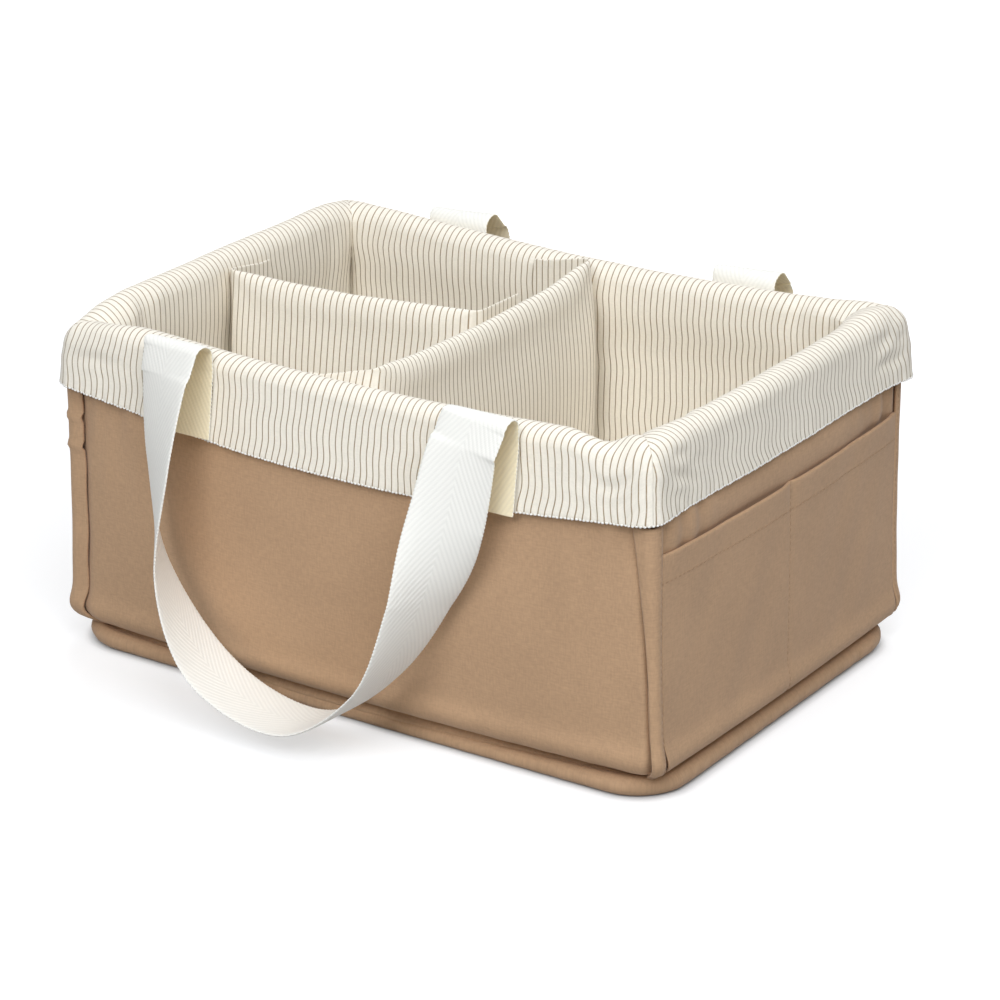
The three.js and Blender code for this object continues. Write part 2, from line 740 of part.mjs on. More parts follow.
const shortFront = shortDividerRight - halfDivider;
const shortRear = shortDividerRight + halfDivider;
const crossTapeFrom = shortRear + tapeInset;
const crossTapeTo = crossTapeFrom + tapeWidth;
const leftFlapFrom = -(shortDividerLeft + halfDivider + flapWidth);
const leftFlapTo = -(shortDividerLeft - halfDivider);
const leftTapeFrom = -(shortDividerLeft + halfDivider);
const shortGroup = addGroup("short_divider");
add(shortGroup, "short_divider_cover", dividerCover(shortPlace, [
  wallFlap(walls.left, leftFlapFrom, leftFlapTo),
  uprightSheet(flapFace, coverThickness, shortFront, shortRear + flapWidth, flapLevels),
]), striped);
add(shortGroup, "short_divider_core", dividerCore(shortPlace), foam);
const leftHook = wallTape(walls.left, leftTapeFrom, -1, hookTapeInside, hookTapeOutside);
add(shortGroup, "short_divider_left_hook_tape", leftHook, tape);
const leftLoop = wallTape(walls.left, leftTapeFrom, -1, wallTapeInside, wallTapeOutside);
add(shortGroup, "left_wall_loop_tape", leftLoop, tape);
const rightHook = uprightSheet(hookFace, tapeThickness, crossTapeFrom, crossTapeTo, tapeLevels);
add(shortGroup, "short_divider_right_hook_tape", rightHook, tape);
const crossLoop = uprightSheet(crossTapeFace, tapeThickness, crossTapeFrom, crossTapeTo, tapeLevels);
add(crossGroup, "cross_divider_loop_tape", crossLoop, tape);

export default caddy;
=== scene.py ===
"""Looks of a diaper caddy: padded cotton walls, a striped lining that turns down as a cuff, two
dividers that lift out and two webbing handles. Every surface is worked out in metres, from the
same sizes as the solids it covers."""
import math
from collections import namedtuple
from functools import partial

import bpy
import numpy as np
from bpy.props import FloatProperty, FloatVectorProperty, PointerProperty
from mathutils import Matrix, Vector


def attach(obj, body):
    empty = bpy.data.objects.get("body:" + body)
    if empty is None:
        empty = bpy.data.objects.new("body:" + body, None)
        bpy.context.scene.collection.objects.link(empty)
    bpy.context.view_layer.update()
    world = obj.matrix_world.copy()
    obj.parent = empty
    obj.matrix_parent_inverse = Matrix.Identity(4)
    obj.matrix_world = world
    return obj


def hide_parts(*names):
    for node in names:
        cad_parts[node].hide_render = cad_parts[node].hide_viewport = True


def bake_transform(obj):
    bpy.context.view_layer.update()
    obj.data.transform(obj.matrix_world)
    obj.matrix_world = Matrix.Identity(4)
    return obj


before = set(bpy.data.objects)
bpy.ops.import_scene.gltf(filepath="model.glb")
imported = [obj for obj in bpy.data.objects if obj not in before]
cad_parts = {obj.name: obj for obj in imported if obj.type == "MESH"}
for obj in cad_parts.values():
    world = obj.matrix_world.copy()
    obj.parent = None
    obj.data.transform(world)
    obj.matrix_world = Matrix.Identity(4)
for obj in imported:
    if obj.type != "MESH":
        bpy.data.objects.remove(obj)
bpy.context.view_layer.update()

bl_info = {
    "name": "Diaper caddy",
    "version": (1, 0, 0),
    "blender": (4, 5, 0),
    "location": "View3D > Sidebar > Caddy",
    "description": "Makes the cloth, webbing and stitching of a diaper caddy",
    "category": "Object",
}

MM = 0.001
TURN = 2 * math.pi
WHITE = (1.0, 1.0, 1.0, 1.0)

# Grids: how far their points close up towards both ends, and the bend that shading keeps sharp.

PACKING = 0.6
SHARP_EDGE = math.radians(50)

# Wall shape: corners, foot and rim

TOP_CORNER = 5 * MM
FOOT_CORNER = 10 * MM
FOOT_CORNER_HEIGHT = 20 * MM
LEAST_CORNER = 2 * MM
END_SPREAD = 4.5 * MM
END_SPREAD_HEIGHT = 110 * MM
FOOT_TUCK = 5 * MM
FOOT_TUCK_HEIGHT = 16 * MM
RIM_DIP = 3 * MM
RIM_DIP_SHARE = 0.3
RIM_SINK_POWER = 4
WALL_FOOT = 11.1 * MM
LAYER_GAP = 0.3 * MM

# Soft folds in the cloth: the seed of their draws, their height, the length of the shortest and of
# the longest, and the most that they slant. The height of the hem's drift is an angle.
Ripples = namedtuple("Ripples", "seed height shortest longest slant", defaults=(0.6,))
RIPPLE_WAVES = 7
INSIDE_RIPPLES = Ripples(400, 0.4 * MM, 40 * MM, 130 * MM)
CUFF_RIPPLES = INSIDE_RIPPLES._replace(height=0.35 * MM)
CUFF_CREASES = Ripples(500, 0.12 * MM, 12 * MM, 30 * MM)
HEM_DRIFT = Ripples(600, 1.5, 30 * MM, 60 * MM)
INSIDE_SWAY = Ripples(700, 0.6 * MM, 18 * MM, 50 * MM, 0.25)
CUFF_SWAY = INSIDE_SWAY._replace(height=1.3 * MM)
CUFF_CRUMPLE = Ripples(800, 0.7 * MM, 9 * MM, 22 * MM, 0.4)
INSIDE_GATHERS = Ripples(900, 1.1 * MM, 13 * MM, 34 * MM, 0.3)
GATHER_SWAY = Ripples(950, 1.4 * MM, 25 * MM, 60 * MM)
PANEL_RIPPLES = Ripples(40, 0.7 * MM, 60 * MM, 170 * MM)
PANEL_PUCKERS = Ripples(50, 0.25 * MM, 9 * MM, 24 * MM)
PANEL_GATHERS = Ripples(60, 1.8 * MM, 11 * MM, 26 * MM, 0.2)
WELT_WAVER = Ripples(7, 0.3 * MM, 20 * MM, 70 * MM)
POCKET_RIPPLES = Ripples(90, 0.35 * MM, 30 * MM, 90 * MM)
BASE_PUCKERS = Ripples(31, 0.25 * MM, 9 * MM, 30 * MM)
LINING_FLOOR_RIPPLES = Ripples(5, 0.25 * MM, 40 * MM, 120 * MM)
DIVIDER_RIPPLES = Ripples(300, 0.4 * MM, 40 * MM, 120 * MM)

# Cuff and lining

LONG_LINING_COLUMNS = 200
END_LINING_COLUMNS = 150
INSIDE_ROWS = 46
ROLL_ROWS = 22
CUFF_ROWS = 24
HEM_ROWS = 6
HEM_RETURN_ROWS = 3
CLOTH_THICKNESS = 1.0 * MM
LINING_SEAM_REACH = 5 * MM
CUFF_EASE = 0.5 * MM
CUFF_FLARE = 1.5 * MM
CUFF_DROOP = 6 * MM
CUFF_DROOP_REACH = 14 * MM
CUFF_DROOP_POWER = 4
CUFF_TOP_PUFF = 0.75
CUFF_PUFF_POWER = 6
RIM_FULLNESS = 2.5 * MM
RIM_FULL_DEPTH = 14 * MM
RIM_FULL_REACH = 18 * MM
LIFT_REACH = 26 * MM
DIP_PLACE = 20 * MM
DIP_REACH = 14 * MM
DIP_CLEAR = 8 * MM
BUNCH_REACH = 16 * MM
BUNCH_DEPTH = 45 * MM
HEM_FOLD = 0.7 * MM
HEM_RETURN = 8 * MM
HEM_PUCKER = 0.28 * MM
HEM_PUCKER_PITCH = 7.5 * MM
HEM_PUCKER_REACH = 6 * MM
CORNER_PULL = 3.2 * MM
CORNER_PULL_REACH = 7 * MM
CORNER_PULL_DEPTH = 30 * MM
CREASE_REACH = 1.5 * MM
FOOT_PULL = 2.5 * MM
FOOT_PULL_REACH = 6 * MM
CRUMPLE_PLACE = 22 * MM
CRUMPLE_REACH = 16 * MM
CRUMPLE_START = 3 * MM
CRUMPLE_EASE = 10 * MM
GATHER_PLACE = 30 * MM
GATHER_REACH = 24 * MM
GATHER_DEPTH = 70 * MM

# Handles

TAB_DROP = 0.99
TAB_RISE = 0.8 * MM
TAB_ROWS = 20
FOLD_RADIUS = 5 * MM
FOLD_ARC_ROWS = 40
FOLD_LIFT_SHARE = 0.3
FOLD_BEND = (0.55, 1.45)
HANDLE_BOTTOM = 13 * MM
HANDLE_ROWS = 900
SELVEDGE_PITCH = 2 * MM
SELVEDGE_DEPTH = 0.4 * MM
STEPS_PER_NOTCH = 5
LEAST_STEPS = 8
# Length from each end of a loop within which the painted shade on its inner side fades out.
PAINTED_SHADE_FADE = 45 * MM

# Section of webbing and tape, a blunt oval: the powers of its sides and faces, the points round it
# and its half thickness as a share of the whole.
SECTION_SIDE_POWER = 0.35
SECTION_FACE_POWER = 0.6
WEBBING_POINTS = 24
WEBBING_FULLNESS = 0.42
TAPE_POINTS = 20
TAPE_FULLNESS = 0.45

# How far a fold opens in degrees, how far it steps towards the handle's middle per height it
# drops, and the turns in degrees with which the handle leaves it.
Fold = namedtuple("Fold", "opening step turns")
LEFT_FOLD = Fold(15, 0.0, (-79, -75, -71))
RIGHT_FOLD = Fold(15, 0.0, (109, 105, 101))
RIGHT_FLAT_FOLD = Fold(2, 0.2, (96, 92, 88))

# How far each handle sits along its wall, how high its folds rise, how far they lean out, and its
# left and right fold.
Handle = namedtuple("Handle", "wall shift rise lean folds")
HANDLES = (
    Handle("front", -3 * MM, 8 * MM, math.radians(22), (LEFT_FOLD, RIGHT_FLAT_FOLD)),
    Handle("rear", -11 * MM, 5 * MM, math.radians(36), (LEFT_FOLD, RIGHT_FOLD)),
)

# How far a handle goes on straight from a fold, as a share of the fold's outer leg.
FOLD_RUN = 0.3

# Share across, share of the swing, share of the height and turn in degrees of each place that a
# hanging handle passes between its folds.
HANDLE_ROUTE = (
    (-1.0, 0.52, 0.72, -54),
    (-0.968, 0.69, 0.375, -30),
    (-0.604, 0.88, 0.08, -2),
    (0.02, 1.0, 0.0, 4),
    (0.492, 0.88, 0.184, 5),
    (0.76, 0.67, 0.475, 26),
    (0.9, 0.42, 0.75, 68),
)

# Dividers and their tapes

DIVIDER_TOP = 176.5 * MM
DIVIDER_SAG = 2 * MM
DIVIDER_FOOT = 11.3 * MM
DIVIDER_LEVEL = 100 * MM
DIVIDER_BEND = 7 * MM
DIVIDER_BEND_ROWS = 16
DIVIDER_SIDE_ROWS = 60
DIVIDER_ARC_ROWS = 11
DIVIDER_END_RISE = 2.0
DIVIDER_END_POWER = 8
FOOT_FULLNESS = 0.9
MIDDLE_FULLNESS = 0.45
FLAP_CLOTH = 1.5 * MM
FLAP_EDGE = 0.5 * MM
OVERLOCK_PITCH = 1.7 * MM
OVERLOCK_DEPTH = 0.35 * MM
PILLOW_EASE = 14 * MM
PEAK_EASE = 26 * MM
CROSS_FLAP_SLOPES = (6 * MM, 3 * MM)
CROSS_PEAKS = (2 * MM, 4 * MM)
CROSS_FLAP_LEAN = 11 * MM
FLAP_LEAN_FOOT = 125 * MM
SHORT_FLAP_SLOPES = (4 * MM, 0.5 * MM)
SHORT_PEAKS = (1 * MM, 0.0)
SHORT_DIVIDER_LEFT = -11 * MM
SHORT_DIVIDER_RIGHT = 8 * MM
TAPE_THICKNESS = 0.8 * MM
TAPE_WIDTH = 16 * MM
TAPE_INSET = 8 * MM
TAPE_FOOT = 27.1 * MM
TAPE_TOP = 137.4 * MM
TAPE_ROWS = 40

# Panels

LONG_PANEL_COLUMNS = 150
END_PANEL_COLUMNS = 110
PANEL_ROWS = 90
PANEL_ROW_POWER = 0.8
PANEL_TOP_GAP = 4 * MM
PANEL_SINK = 0.5 * MM
PANEL_TUCK = 1.5 * MM
PANEL_CORNER_REACH = 8 * MM
PANEL_FOOT_REACH = 6 * MM
LONG_PANEL_PULL = 3 * MM
END_PANEL_PULL = 0.5 * MM
PANEL_PULL_POWER = 4
PUCKER_FOOT = 5 * MM
PUCKER_CORNER = 6 * MM
PUCKER_REACH = 5 * MM
PANEL_GATHER_PLACE = 25 * MM
PANEL_GATHER_REACH = 22 * MM
PANEL_GATHER_FOOT = 60 * MM
PANEL_GATHER_HEIGHT = 90 * MM
FOOT_SWELL = 2.5 * MM
FOOT_SWELL_HEIGHT = 9 * MM
FOOT_SWELL_REACH = 7 * MM
FOOT_DRAW = 3.5 * MM
FOOT_DRAW_REACH = 3 * MM

# Corner welts

WELT_ROWS = 70
WELT_COLUMNS = 22
WELT_WIDTH = 6 * MM
WELT_EDGE = 2 * MM
WELT_SINK = 1.8 * MM
WELT_SINK_REACH = 4 * MM
WELT_LIFT = 1.2 * MM
WELT_THICKNESS = 1.8 * MM
WELT_GAP = 0.3 * MM
WELT_TOP_GAP = 2.5 * MM
WELT_TURN_FOOT = 50 * MM
WELT_TURN_HEIGHT = 90 * MM
RIDGE_REACH = 1.8 * MM
RIDGE_SPACING = 16 * MM

# Pockets

POCKET_COLUMNS = 121
POCKET_HEM_ROWS = 9
POCKET_FOLD_ROWS = 5
POCKET_ROWS = 70
POCKET_CLOTH = 0.8 * MM
POCKET_STAND = 1.6 * MM
POCKET_HEM = 9.5 * MM
POCKET_GAPE = 1.5 * MM
POCKET_GAPE_DEPTH = 30 * MM
POCKET_SIDE_REACH = 7 * MM
POCKET_MIDDLE_REACH = 5 * MM
POCKET_SEAM = 0.4 * MM
POCKET_SEAM_SHARE = 0.012
POCKET_FREE_SHARE = 1 / 6
POCKET_OVERHANG = 2 * MM
OVERHANG_POWER = 0.6
OVERHANG_CLEAR = 12 * MM

# Base and lining floor

BASE_LIP_ENDS = 6.5 * MM
BASE_LIP_SIDES = 2 * MM
BASE_CORNER = 30 * MM
BASE_EDGE = 10.8 * MM
BASE_TOP = 7.6 * MM
BASE_RINGS = (0.02, 0.5, 0.8, 0.93)
BASE_ANGLES = 400
BASE_COLUMNS = 480
LIP_ROWS = 15
LIP_THINNING = 3.5 * MM
LIP_SIDE_POWER = 8
LINING_FLOOR_LENGTH = 320 * MM
LINING_FLOOR_WIDTH = 212 * MM
LINING_FLOOR_LEVEL = 10.2 * MM
LINING_FLOOR_DROP = 1.5 * MM
LINING_FLOOR_EDGE = 5 * MM
LINING_FLOOR_ROWS = 120
LINING_FLOOR_COLUMNS = 160

# Stitches: place along a stitch and thickness there, as shares of the half length and thickness.

STITCH_RINGS = ((-1.0, 0.15), (-0.7, 0.8), (0.0, 1.0), (0.7, 0.8), (1.0, 0.15))
STITCH_SIDES = 6
STITCH_SPACING = 1.4
STITCH_LIFT = 0.5 * MM
HEM_STITCH_SHARE = 0.6
HEM_STITCH_THICKNESS = 1.25 * MM
SEAM_STITCH_THICKNESS = 0.42 * MM
SEAM_THREAD_LEVEL = 0.9
POCKET_STITCH_ROW = 8
WELT_STITCH_COLUMN = 3
WELT_STITCH_LIFT = 0.8 * MM

# Weave: yarns and slubs of the cottons, stripes, and ribs of the webbing

YARN_PITCH = 0.9 * MM
YARN_HEIGHT = 0.25
SLUB_SCALES = (1100, 250)
CLOUD_SHARE = 0.45
STRIPE_DRIFT = 0.9 * MM
STRIPE_BLUR = 0.4
STRIPE_SLUBS = 0.3
RIB_SLOPE = 1.7
RIB_PITCH = 4.4 * MM
PICK_PITCH = 0.75 * MM
PICK_HEIGHT = 0.25
# Levels of the webbing's colour: painted shade in its grooves and painted highlight on its ribs.
RIB_PAINTED_SHADE = 0.95
RIB_PAINTED_HIGHLIGHT = 0.07
THREAD_TWIST = 0.5 * MM
PILE_PITCH = 1.4 * MM
CLOTH_SPECULAR = 0.25

# Each wall's seed, its turn in degrees about the upright axis, whether it is a long one, how far it
# bows out at the foot, at mid height, at the rim and inside, and how far its rim and its hem sag.
Wall = namedtuple("Wall", "name seed turn is_long foot_bow belly_bow rim_bow inside_bow rim_sag "
                  "hem_sag")
WALLS = {
    "front": Wall("front", 1, 0.0, True, 6 * MM, 6 * MM, 6 * MM, 3 * MM, 4.5 * MM, 10.5 * MM),
    "right": Wall("right", 2, 90.0, False, 1.5 * MM, 3.5 * MM, 1 * MM, 0.5 * MM, 0.0, 0.0),
    "rear": Wall("rear", 3, 180.0, True, 4 * MM, 4 * MM, 1 * MM, 1 * MM, 7.5 * MM, 10.5 * MM),
    "left": Wall("left", 4, -90.0, False, 1.5 * MM, 3.5 * MM, 1 * MM, 0.5 * MM, 0.0, 0.0),
}

# How each corner lies: how far its top is lifted, its cuff stands out, its inner edge is bunched up
# and the rim dips beside it, how far its welt reaches round at the top and at the foot, and how
# high the pocket's hem shows as ridges in the welt.
Corner = namedtuple("Corner", "lift puff bunch dip top_wrap foot_wrap ridge")
FRONT_LEFT = Corner(-3.5 * MM, 3.5 * MM, 2 * MM, 0.0, 7 * MM, 8 * MM, 1.2 * MM)
FRONT_RIGHT = Corner(2.5 * MM, 2 * MM, 6 * MM, 0.0, 8 * MM, 0.5 * MM, 0.0)
REAR_RIGHT = Corner(4 * MM, 6.2 * MM, 5 * MM, 0.0, 4 * MM, 3 * MM, 0.0)
REAR_LEFT = Corner(1 * MM, 3.5 * MM, 0.0, 0.0, 4 * MM, 3 * MM, 0.0)
WALL_CORNERS = {
    "front": (FRONT_LEFT, FRONT_RIGHT._replace(dip=5 * MM)),
    "right": (FRONT_RIGHT, REAR_RIGHT),
    "rear": (REAR_RIGHT, REAR_LEFT),
    "left": (REAR_LEFT, FRONT_LEFT),
}

# Camera

CAMERA_AZIMUTH = math.radians(33.63)
CAMERA_ELEVATION = math.radians(21.95)
CAMERA_DISTANCE = 1.9758
CAMERA_TARGET = Vector((0.0065, 0.0044, 0.0776))
SENSOR_WIDTH = 36.0
IMAGE_WIDTH = 1000
FOCAL_PIXELS = 3824.3

# Light

WORLD_LEVEL = 0.19
LAMP_COLOUR = (0.96, 0.99, 1.04)
LAMP_TARGET = Vector((0.0, 0.0, 0.1))

# Name, place, size and power of each lamp.
LAMPS = (
    ("front_lamp", Vector((0.2, -1.9, 1.7)), 1.2, 24.0),
    ("right_lamp", Vector((1.18, -0.85, 2.05)), 1.8, 36.0),
    ("rear_lamp", Vector((-0.6, 1.3, 2.0)), 1.6, 19.0),
)

# How strongly the floor shows its own white, near the caddy and far from it, and how far out from
# the base each of the two takes over. Right at the base's edge the glow fades to none, which paints
# a dark contact shadow there.
FLOOR_LIFT_NEAR = 0.57
FLOOR_LIFT_FAR = 1.0
PAINTED_CONTACT_SHADOW_REACH = 5 * MM
FLOOR_REACH = (0.12, 0.7)
FLOOR_HALF = 6.0
FLOOR_POINTS = 5


def srgb(red, green, blue):
    """Linear colour of a displayed one, by the standard curve."""
    shown = np.array([red, green, blue]) / 255
    linear = np.where(shown <= 0.04045, shown / 12.92, ((shown + 0.055) / 1.055) ** 2.4)
    return tuple(float(value) for value in linear)


def length_property(label, description, default):
    """A length that can't be negative."""
    return FloatProperty(name=label, description=description, default=default, min=0.0, unit="LENGTH")


def colour_property(label, description, default):
    """A colour with parts from 0 to 1."""
    return FloatVectorProperty(
        name=label, description=description, default=default, min=0.0, max=1.0, subtype="COLOR")


class CaddySizes(bpy.types.PropertyGroup):
    """Sizes of the caddy."""

    body_length: length_property("Body length", "Length over the end panels at the rim", 348 * MM)
    body_width: length_property("Body width", "Width over the long panels at the rim", 241 * MM)
    rim_height: length_property("Rim height", "Height of the rolled rim at a corner", 183 * MM)
    wall_padding: length_property("Wall padding", "Thickness of the foam in a wall", 12 * MM)
    cloth: length_property("Cloth", "Thickness of the panel and lining cloths with seams", 1.5 * MM)
    cuff_hem: length_property("Cuff hem", "Height of the cuff's hem at a corner", 146 * MM)
    pocket_height: length_property("Pocket height", "Height of the mouths of the pockets", 127 * MM)
    divider_thickness: length_property("Divider", "Thickness of a padded divider", 14 * MM)
    flap_width: length_property("Flap width", "Width of a divider's end flaps", 30 * MM)
    webbing_width: length_property("Webbing width", "Width of the handles", 38 * MM)
    webbing_thickness: length_property("Webbing thickness", "Thickness of the handles", 2 * MM)
    handle_spacing: length_property("Handle spacing", "Distance between a handle's tabs", 180 * MM)
    handle_swing: length_property("Handle swing", "How far a hanging handle stands out", 21 * MM)
    stripe_pitch: length_property("Stripe pitch", "Distance between the lining's stripes", 3.7 * MM)
    stripe_width: length_property("Stripe width", "Width of a stripe", 0.62 * MM)
    stitch: length_property("Stitch", "Length of a stitch", 2.4 * MM)


class CaddyColours(bpy.types.PropertyGroup):
    """Colours of the caddy's cloths."""

    tan: colour_property("Tan cotton", "Outer panels, pockets and base", srgb(190, 155, 121))
    cream: colour_property("Cream cotton", "Ground of the lining", srgb(248, 241, 226))
    stripe: colour_property("Stripe", "Stripes of the lining", srgb(160, 139, 111))
    webbing: colour_property("Webbing", "Outer side of the handles", srgb(248, 246, 238))
    # The handles' inner side has a warm painted shade: the shade inside their folds.
    webbing_painted_shade: colour_property("Webbing inside", "Inner side of the handles", srgb(244, 231, 198))
    thread: colour_property("Thread", "Stitches along the cuff's hem", srgb(250, 248, 242))
    board: colour_property("Board", "Stiff board in the base", srgb(150, 128, 100))
    tape: colour_property("Tape", "Hook and loop tapes", srgb(232, 226, 214))
    floor: colour_property("Floor", "Floor under the caddy", srgb(190, 190, 190))


def sizes():
    """The scene's sizes of the caddy."""
    return bpy.context.scene.caddy_sizes


def colours():
    """The scene's colours of the caddy."""
    return bpy.context.scene.caddy_colours


# Wall surface

Layers = namedtuple("Layers", "pad_outside lining_outside lining_middle cuff_middle roll_radius "
                    "roll_centre roll_height wall_tape hook_tape flap_middle")


def layers():
    """Distances of a wall's layers out from its face, each from the one outside it, its thickness
    and the gap between. The roll is the half circle that joins the lining to the cuff."""
    size = sizes()
    pad_outside = -size.cloth - LAYER_GAP
    lining_outside = pad_outside - size.wall_padding - LAYER_GAP
    lining_middle = lining_outside - size.cloth / 2
    cuff_middle = CUFF_EASE + size.cloth / 2
    roll_radius = (cuff_middle - lining_middle) / 2
    roll_height = size.rim_height - roll_radius - size.cloth / 2
    wall_tape = lining_outside - size.cloth - LAYER_GAP - TAPE_THICKNESS / 2
    hook_tape = wall_tape - TAPE_THICKNESS - LAYER_GAP
    flap_middle = hook_tape - TAPE_THICKNESS / 2 - LAYER_GAP - FLAP_CLOTH / 2
    return Layers(pad_outside, lining_outside, lining_middle, cuff_middle, roll_radius,
                  (cuff_middle + lining_middle) / 2, roll_height, wall_tape, hook_tape, flap_middle)


def clamp01(value):
    """The value, kept between 0 and 1."""
    return np.clip(value, 0.0, 1.0)


def mix(first, second, share):
    """The first value at share 0, the second at 1, a straight line between."""
    return first + (second - first) * share


def hump(distance, reach):
    """Bell curve that is 1 at distance 0 and fades within about twice the reach."""
    return np.exp(-(distance / reach) ** 2)


def foot_tuck(z):
    """Quarter circle by which a wall turns in towards its foot."""
    rise = clamp01((z - WALL_FOOT) / FOOT_TUCK_HEIGHT)
    return -FOOT_TUCK * (1 - np.sqrt(1 - (1 - rise) ** 2))


def corner_radius(n, z):
    """Plan radius of a corner, wider at the foot and smaller for the layers further in."""
    rise = clamp01((z - WALL_FOOT) / FOOT_CORNER_HEIGHT)
    return np.maximum(mix(TOP_CORNER, FOOT_CORNER, (1 - rise) ** 2) + n, LEAST_CORNER)


def depth_share(n):
    """0 at the lining and 1 at the panel."""
    layer = layers()
    return clamp01((n - layer.lining_outside) / (layer.pad_outside - layer.lining_outside))


def half_spans(wall, n, z):
    """Half the wall's own length and half the distance to the wall across, as a pair."""
    size = sizes()
    spread = END_SPREAD * clamp01(1 - z / END_SPREAD_HEIGHT) ** 2 * depth_share(n)
    half_length = size.body_length / 2 + n + spread + foot_tuck(z)
    half_width = size.body_width / 2 + n + foot_tuck(z)
    return (half_length, half_width) if wall.is_long else (half_width, half_length)


def wall_reach(wall, n, z):
    """Distance along a wall from its middle to a corner seam, halfway round the corner's arc."""
    radius = corner_radius(n, z)
    return half_spans(wall, n, z)[0] - radius + radius * math.pi / 4


def wall_bow(wall, share, n, z):
    """Parabola along the wall by which it bows out, most at mid height for the outer layers."""
    height = clamp01((z - WALL_FOOT) / (layers().roll_height - WALL_FOOT))
    inside = mix(wall.inside_bow, wall.rim_bow, height)
    outside = mix(wall.foot_bow, wall.rim_bow, height) + wall.belly_bow * 4 * height * (1 - height)
    return mix(inside, outside, depth_share(n)) * (1 - share ** 2)


def wall_place(wall, s, n, z):
    """Distances along the wall, out from the caddy's middle and up, for a length s along it, a
    distance n out from the panel's face and a height z. The plan is straight and turns through
    half the corner at each end; the rim sinks between the corners and dips at them."""
    radius = corner_radius(n, z)
    own_half, face = half_spans(wall, n, z)
    straight = own_half - radius
    share = np.minimum(np.abs(s) / wall_reach(wall, n, z), 1.0)
    angle = np.maximum(np.abs(s) - straight, 0.0) / radius
    along = np.sign(s) * (np.minimum(np.abs(s), straight) + radius * np.sin(angle))
    out = face - radius * (1 - np.cos(angle)) + wall_bow(wall, share, n, z)
    corner = clamp01((share - 1) / RIM_DIP_SHARE + 1)
    sink = RIM_DIP * corner ** 2 + wall.rim_sag * (1 - share ** 2)
    return along, out, z - sink * (z / sizes().rim_height) ** RIM_SINK_POWER


def turned(wall, along, out, up):
    """Points in the caddy's frame: the front wall's place turned about the upright axis."""
    turn = math.radians(wall.turn)
    x = along * math.cos(turn) + out * math.sin(turn)
    y = along * math.sin(turn) - out * math.cos(turn)
    return np.stack(np.broadcast_arrays(x, y, up), axis=-1)


def wall_point(wall, s, n, z):
    """Points in the caddy's frame of places on a wall."""
    return turned(wall, *wall_place(wall, s, n, z))


def packed(count):
    """Shares from -1 to 1, closer together towards both ends."""
    even = np.linspace(-1.0, 1.0, count)
    return mix(even, np.sin(even * math.pi / 2), PACKING)


def ripple(folds, which, s, v):
    """Soft folds of about the given height: a sum of cosines with seeded lengths, slants and phases.
    Which tells apart the pieces that share one kind of fold."""
    draw = np.random.default_rng(folds.seed + which)
    total = 0.0
    for _ in range(RIPPLE_WAVES):
        pitch = draw.uniform(folds.shortest, folds.longest)
        slant = draw.uniform(-folds.slant, folds.slant)
        phase = draw.uniform(0.0, TURN)
        total = total + np.cos(TURN * (s + slant * v) / pitch + phase)
    return folds.height * total / math.sqrt(2 * RIPPLE_WAVES)


# Meshes

def build_mesh(name, points, uv, closed=False):
    """Mesh of a grid of points, with faces that look along rows crossed with columns. A closed grid
    joins its last column to its first and has its first and last rows capped."""
    rows, columns = points.shape[:2]
    row, column = np.meshgrid(np.arange(rows - 1), np.arange(columns - (not closed)), indexing="ij")
    row = row.ravel()
    column = column.ravel()
    corner_rows = np.stack([row, row + 1, row + 1, row], axis=1)
    corner_columns = np.stack([column, column, column + 1, column + 1], axis=1)
    faces = (corner_rows * columns + corner_columns % columns).tolist()
    corner_uv = uv[corner_rows, corner_columns].reshape(-1, 2)
    if closed:
        faces.append(list(range(columns)))
        faces.append([(rows - 1) * columns + k for k in reversed(range(columns))])
        corner_uv = np.concatenate([corner_uv, uv[0, :columns], uv[-1, :columns][::-1]])
    mesh = bpy.data.meshes.new(name)
    mesh.from_pydata(points.reshape(-1, 3).tolist(), [], faces)
    mesh.uv_layers.new(name="cloth").data.foreach_set("uv", corner_uv.ravel())
    mesh.shade_smooth()
    mesh.set_sharp_from_angle(angle=SHARP_EDGE)
    return mesh


def add_piece(mesh, finish, body, nodes=()):
    """Object of a mesh, standing for the nodes it covers and riding on a body, if it has one."""
    piece = bpy.data.objects.new(mesh.name, mesh)
    mesh.materials.append(finish)
    bpy.context.scene.collection.objects.link(piece)
    if body:
        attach(piece, body)
    if nodes:
        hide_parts(*nodes)
    return piece


def add_cloth(mesh, finish, nodes, thickness):
    """Sheet of cloth on the caddy, with half its thickness to each side of its mesh."""
    piece = add_piece(mesh, finish, "caddy", nodes)
    solidify = piece.modifiers.new("thickness", "SOLIDIFY")
    solidify.thickness = thickness
    solidify.offset = 0.0


def grid_normals(points):
    """Unit normals of a grid: its slope down the rows crossed with its slope along the columns."""
    return unit(np.cross(np.gradient(points, axis=0), np.gradient(points, axis=1)))


# Finishes

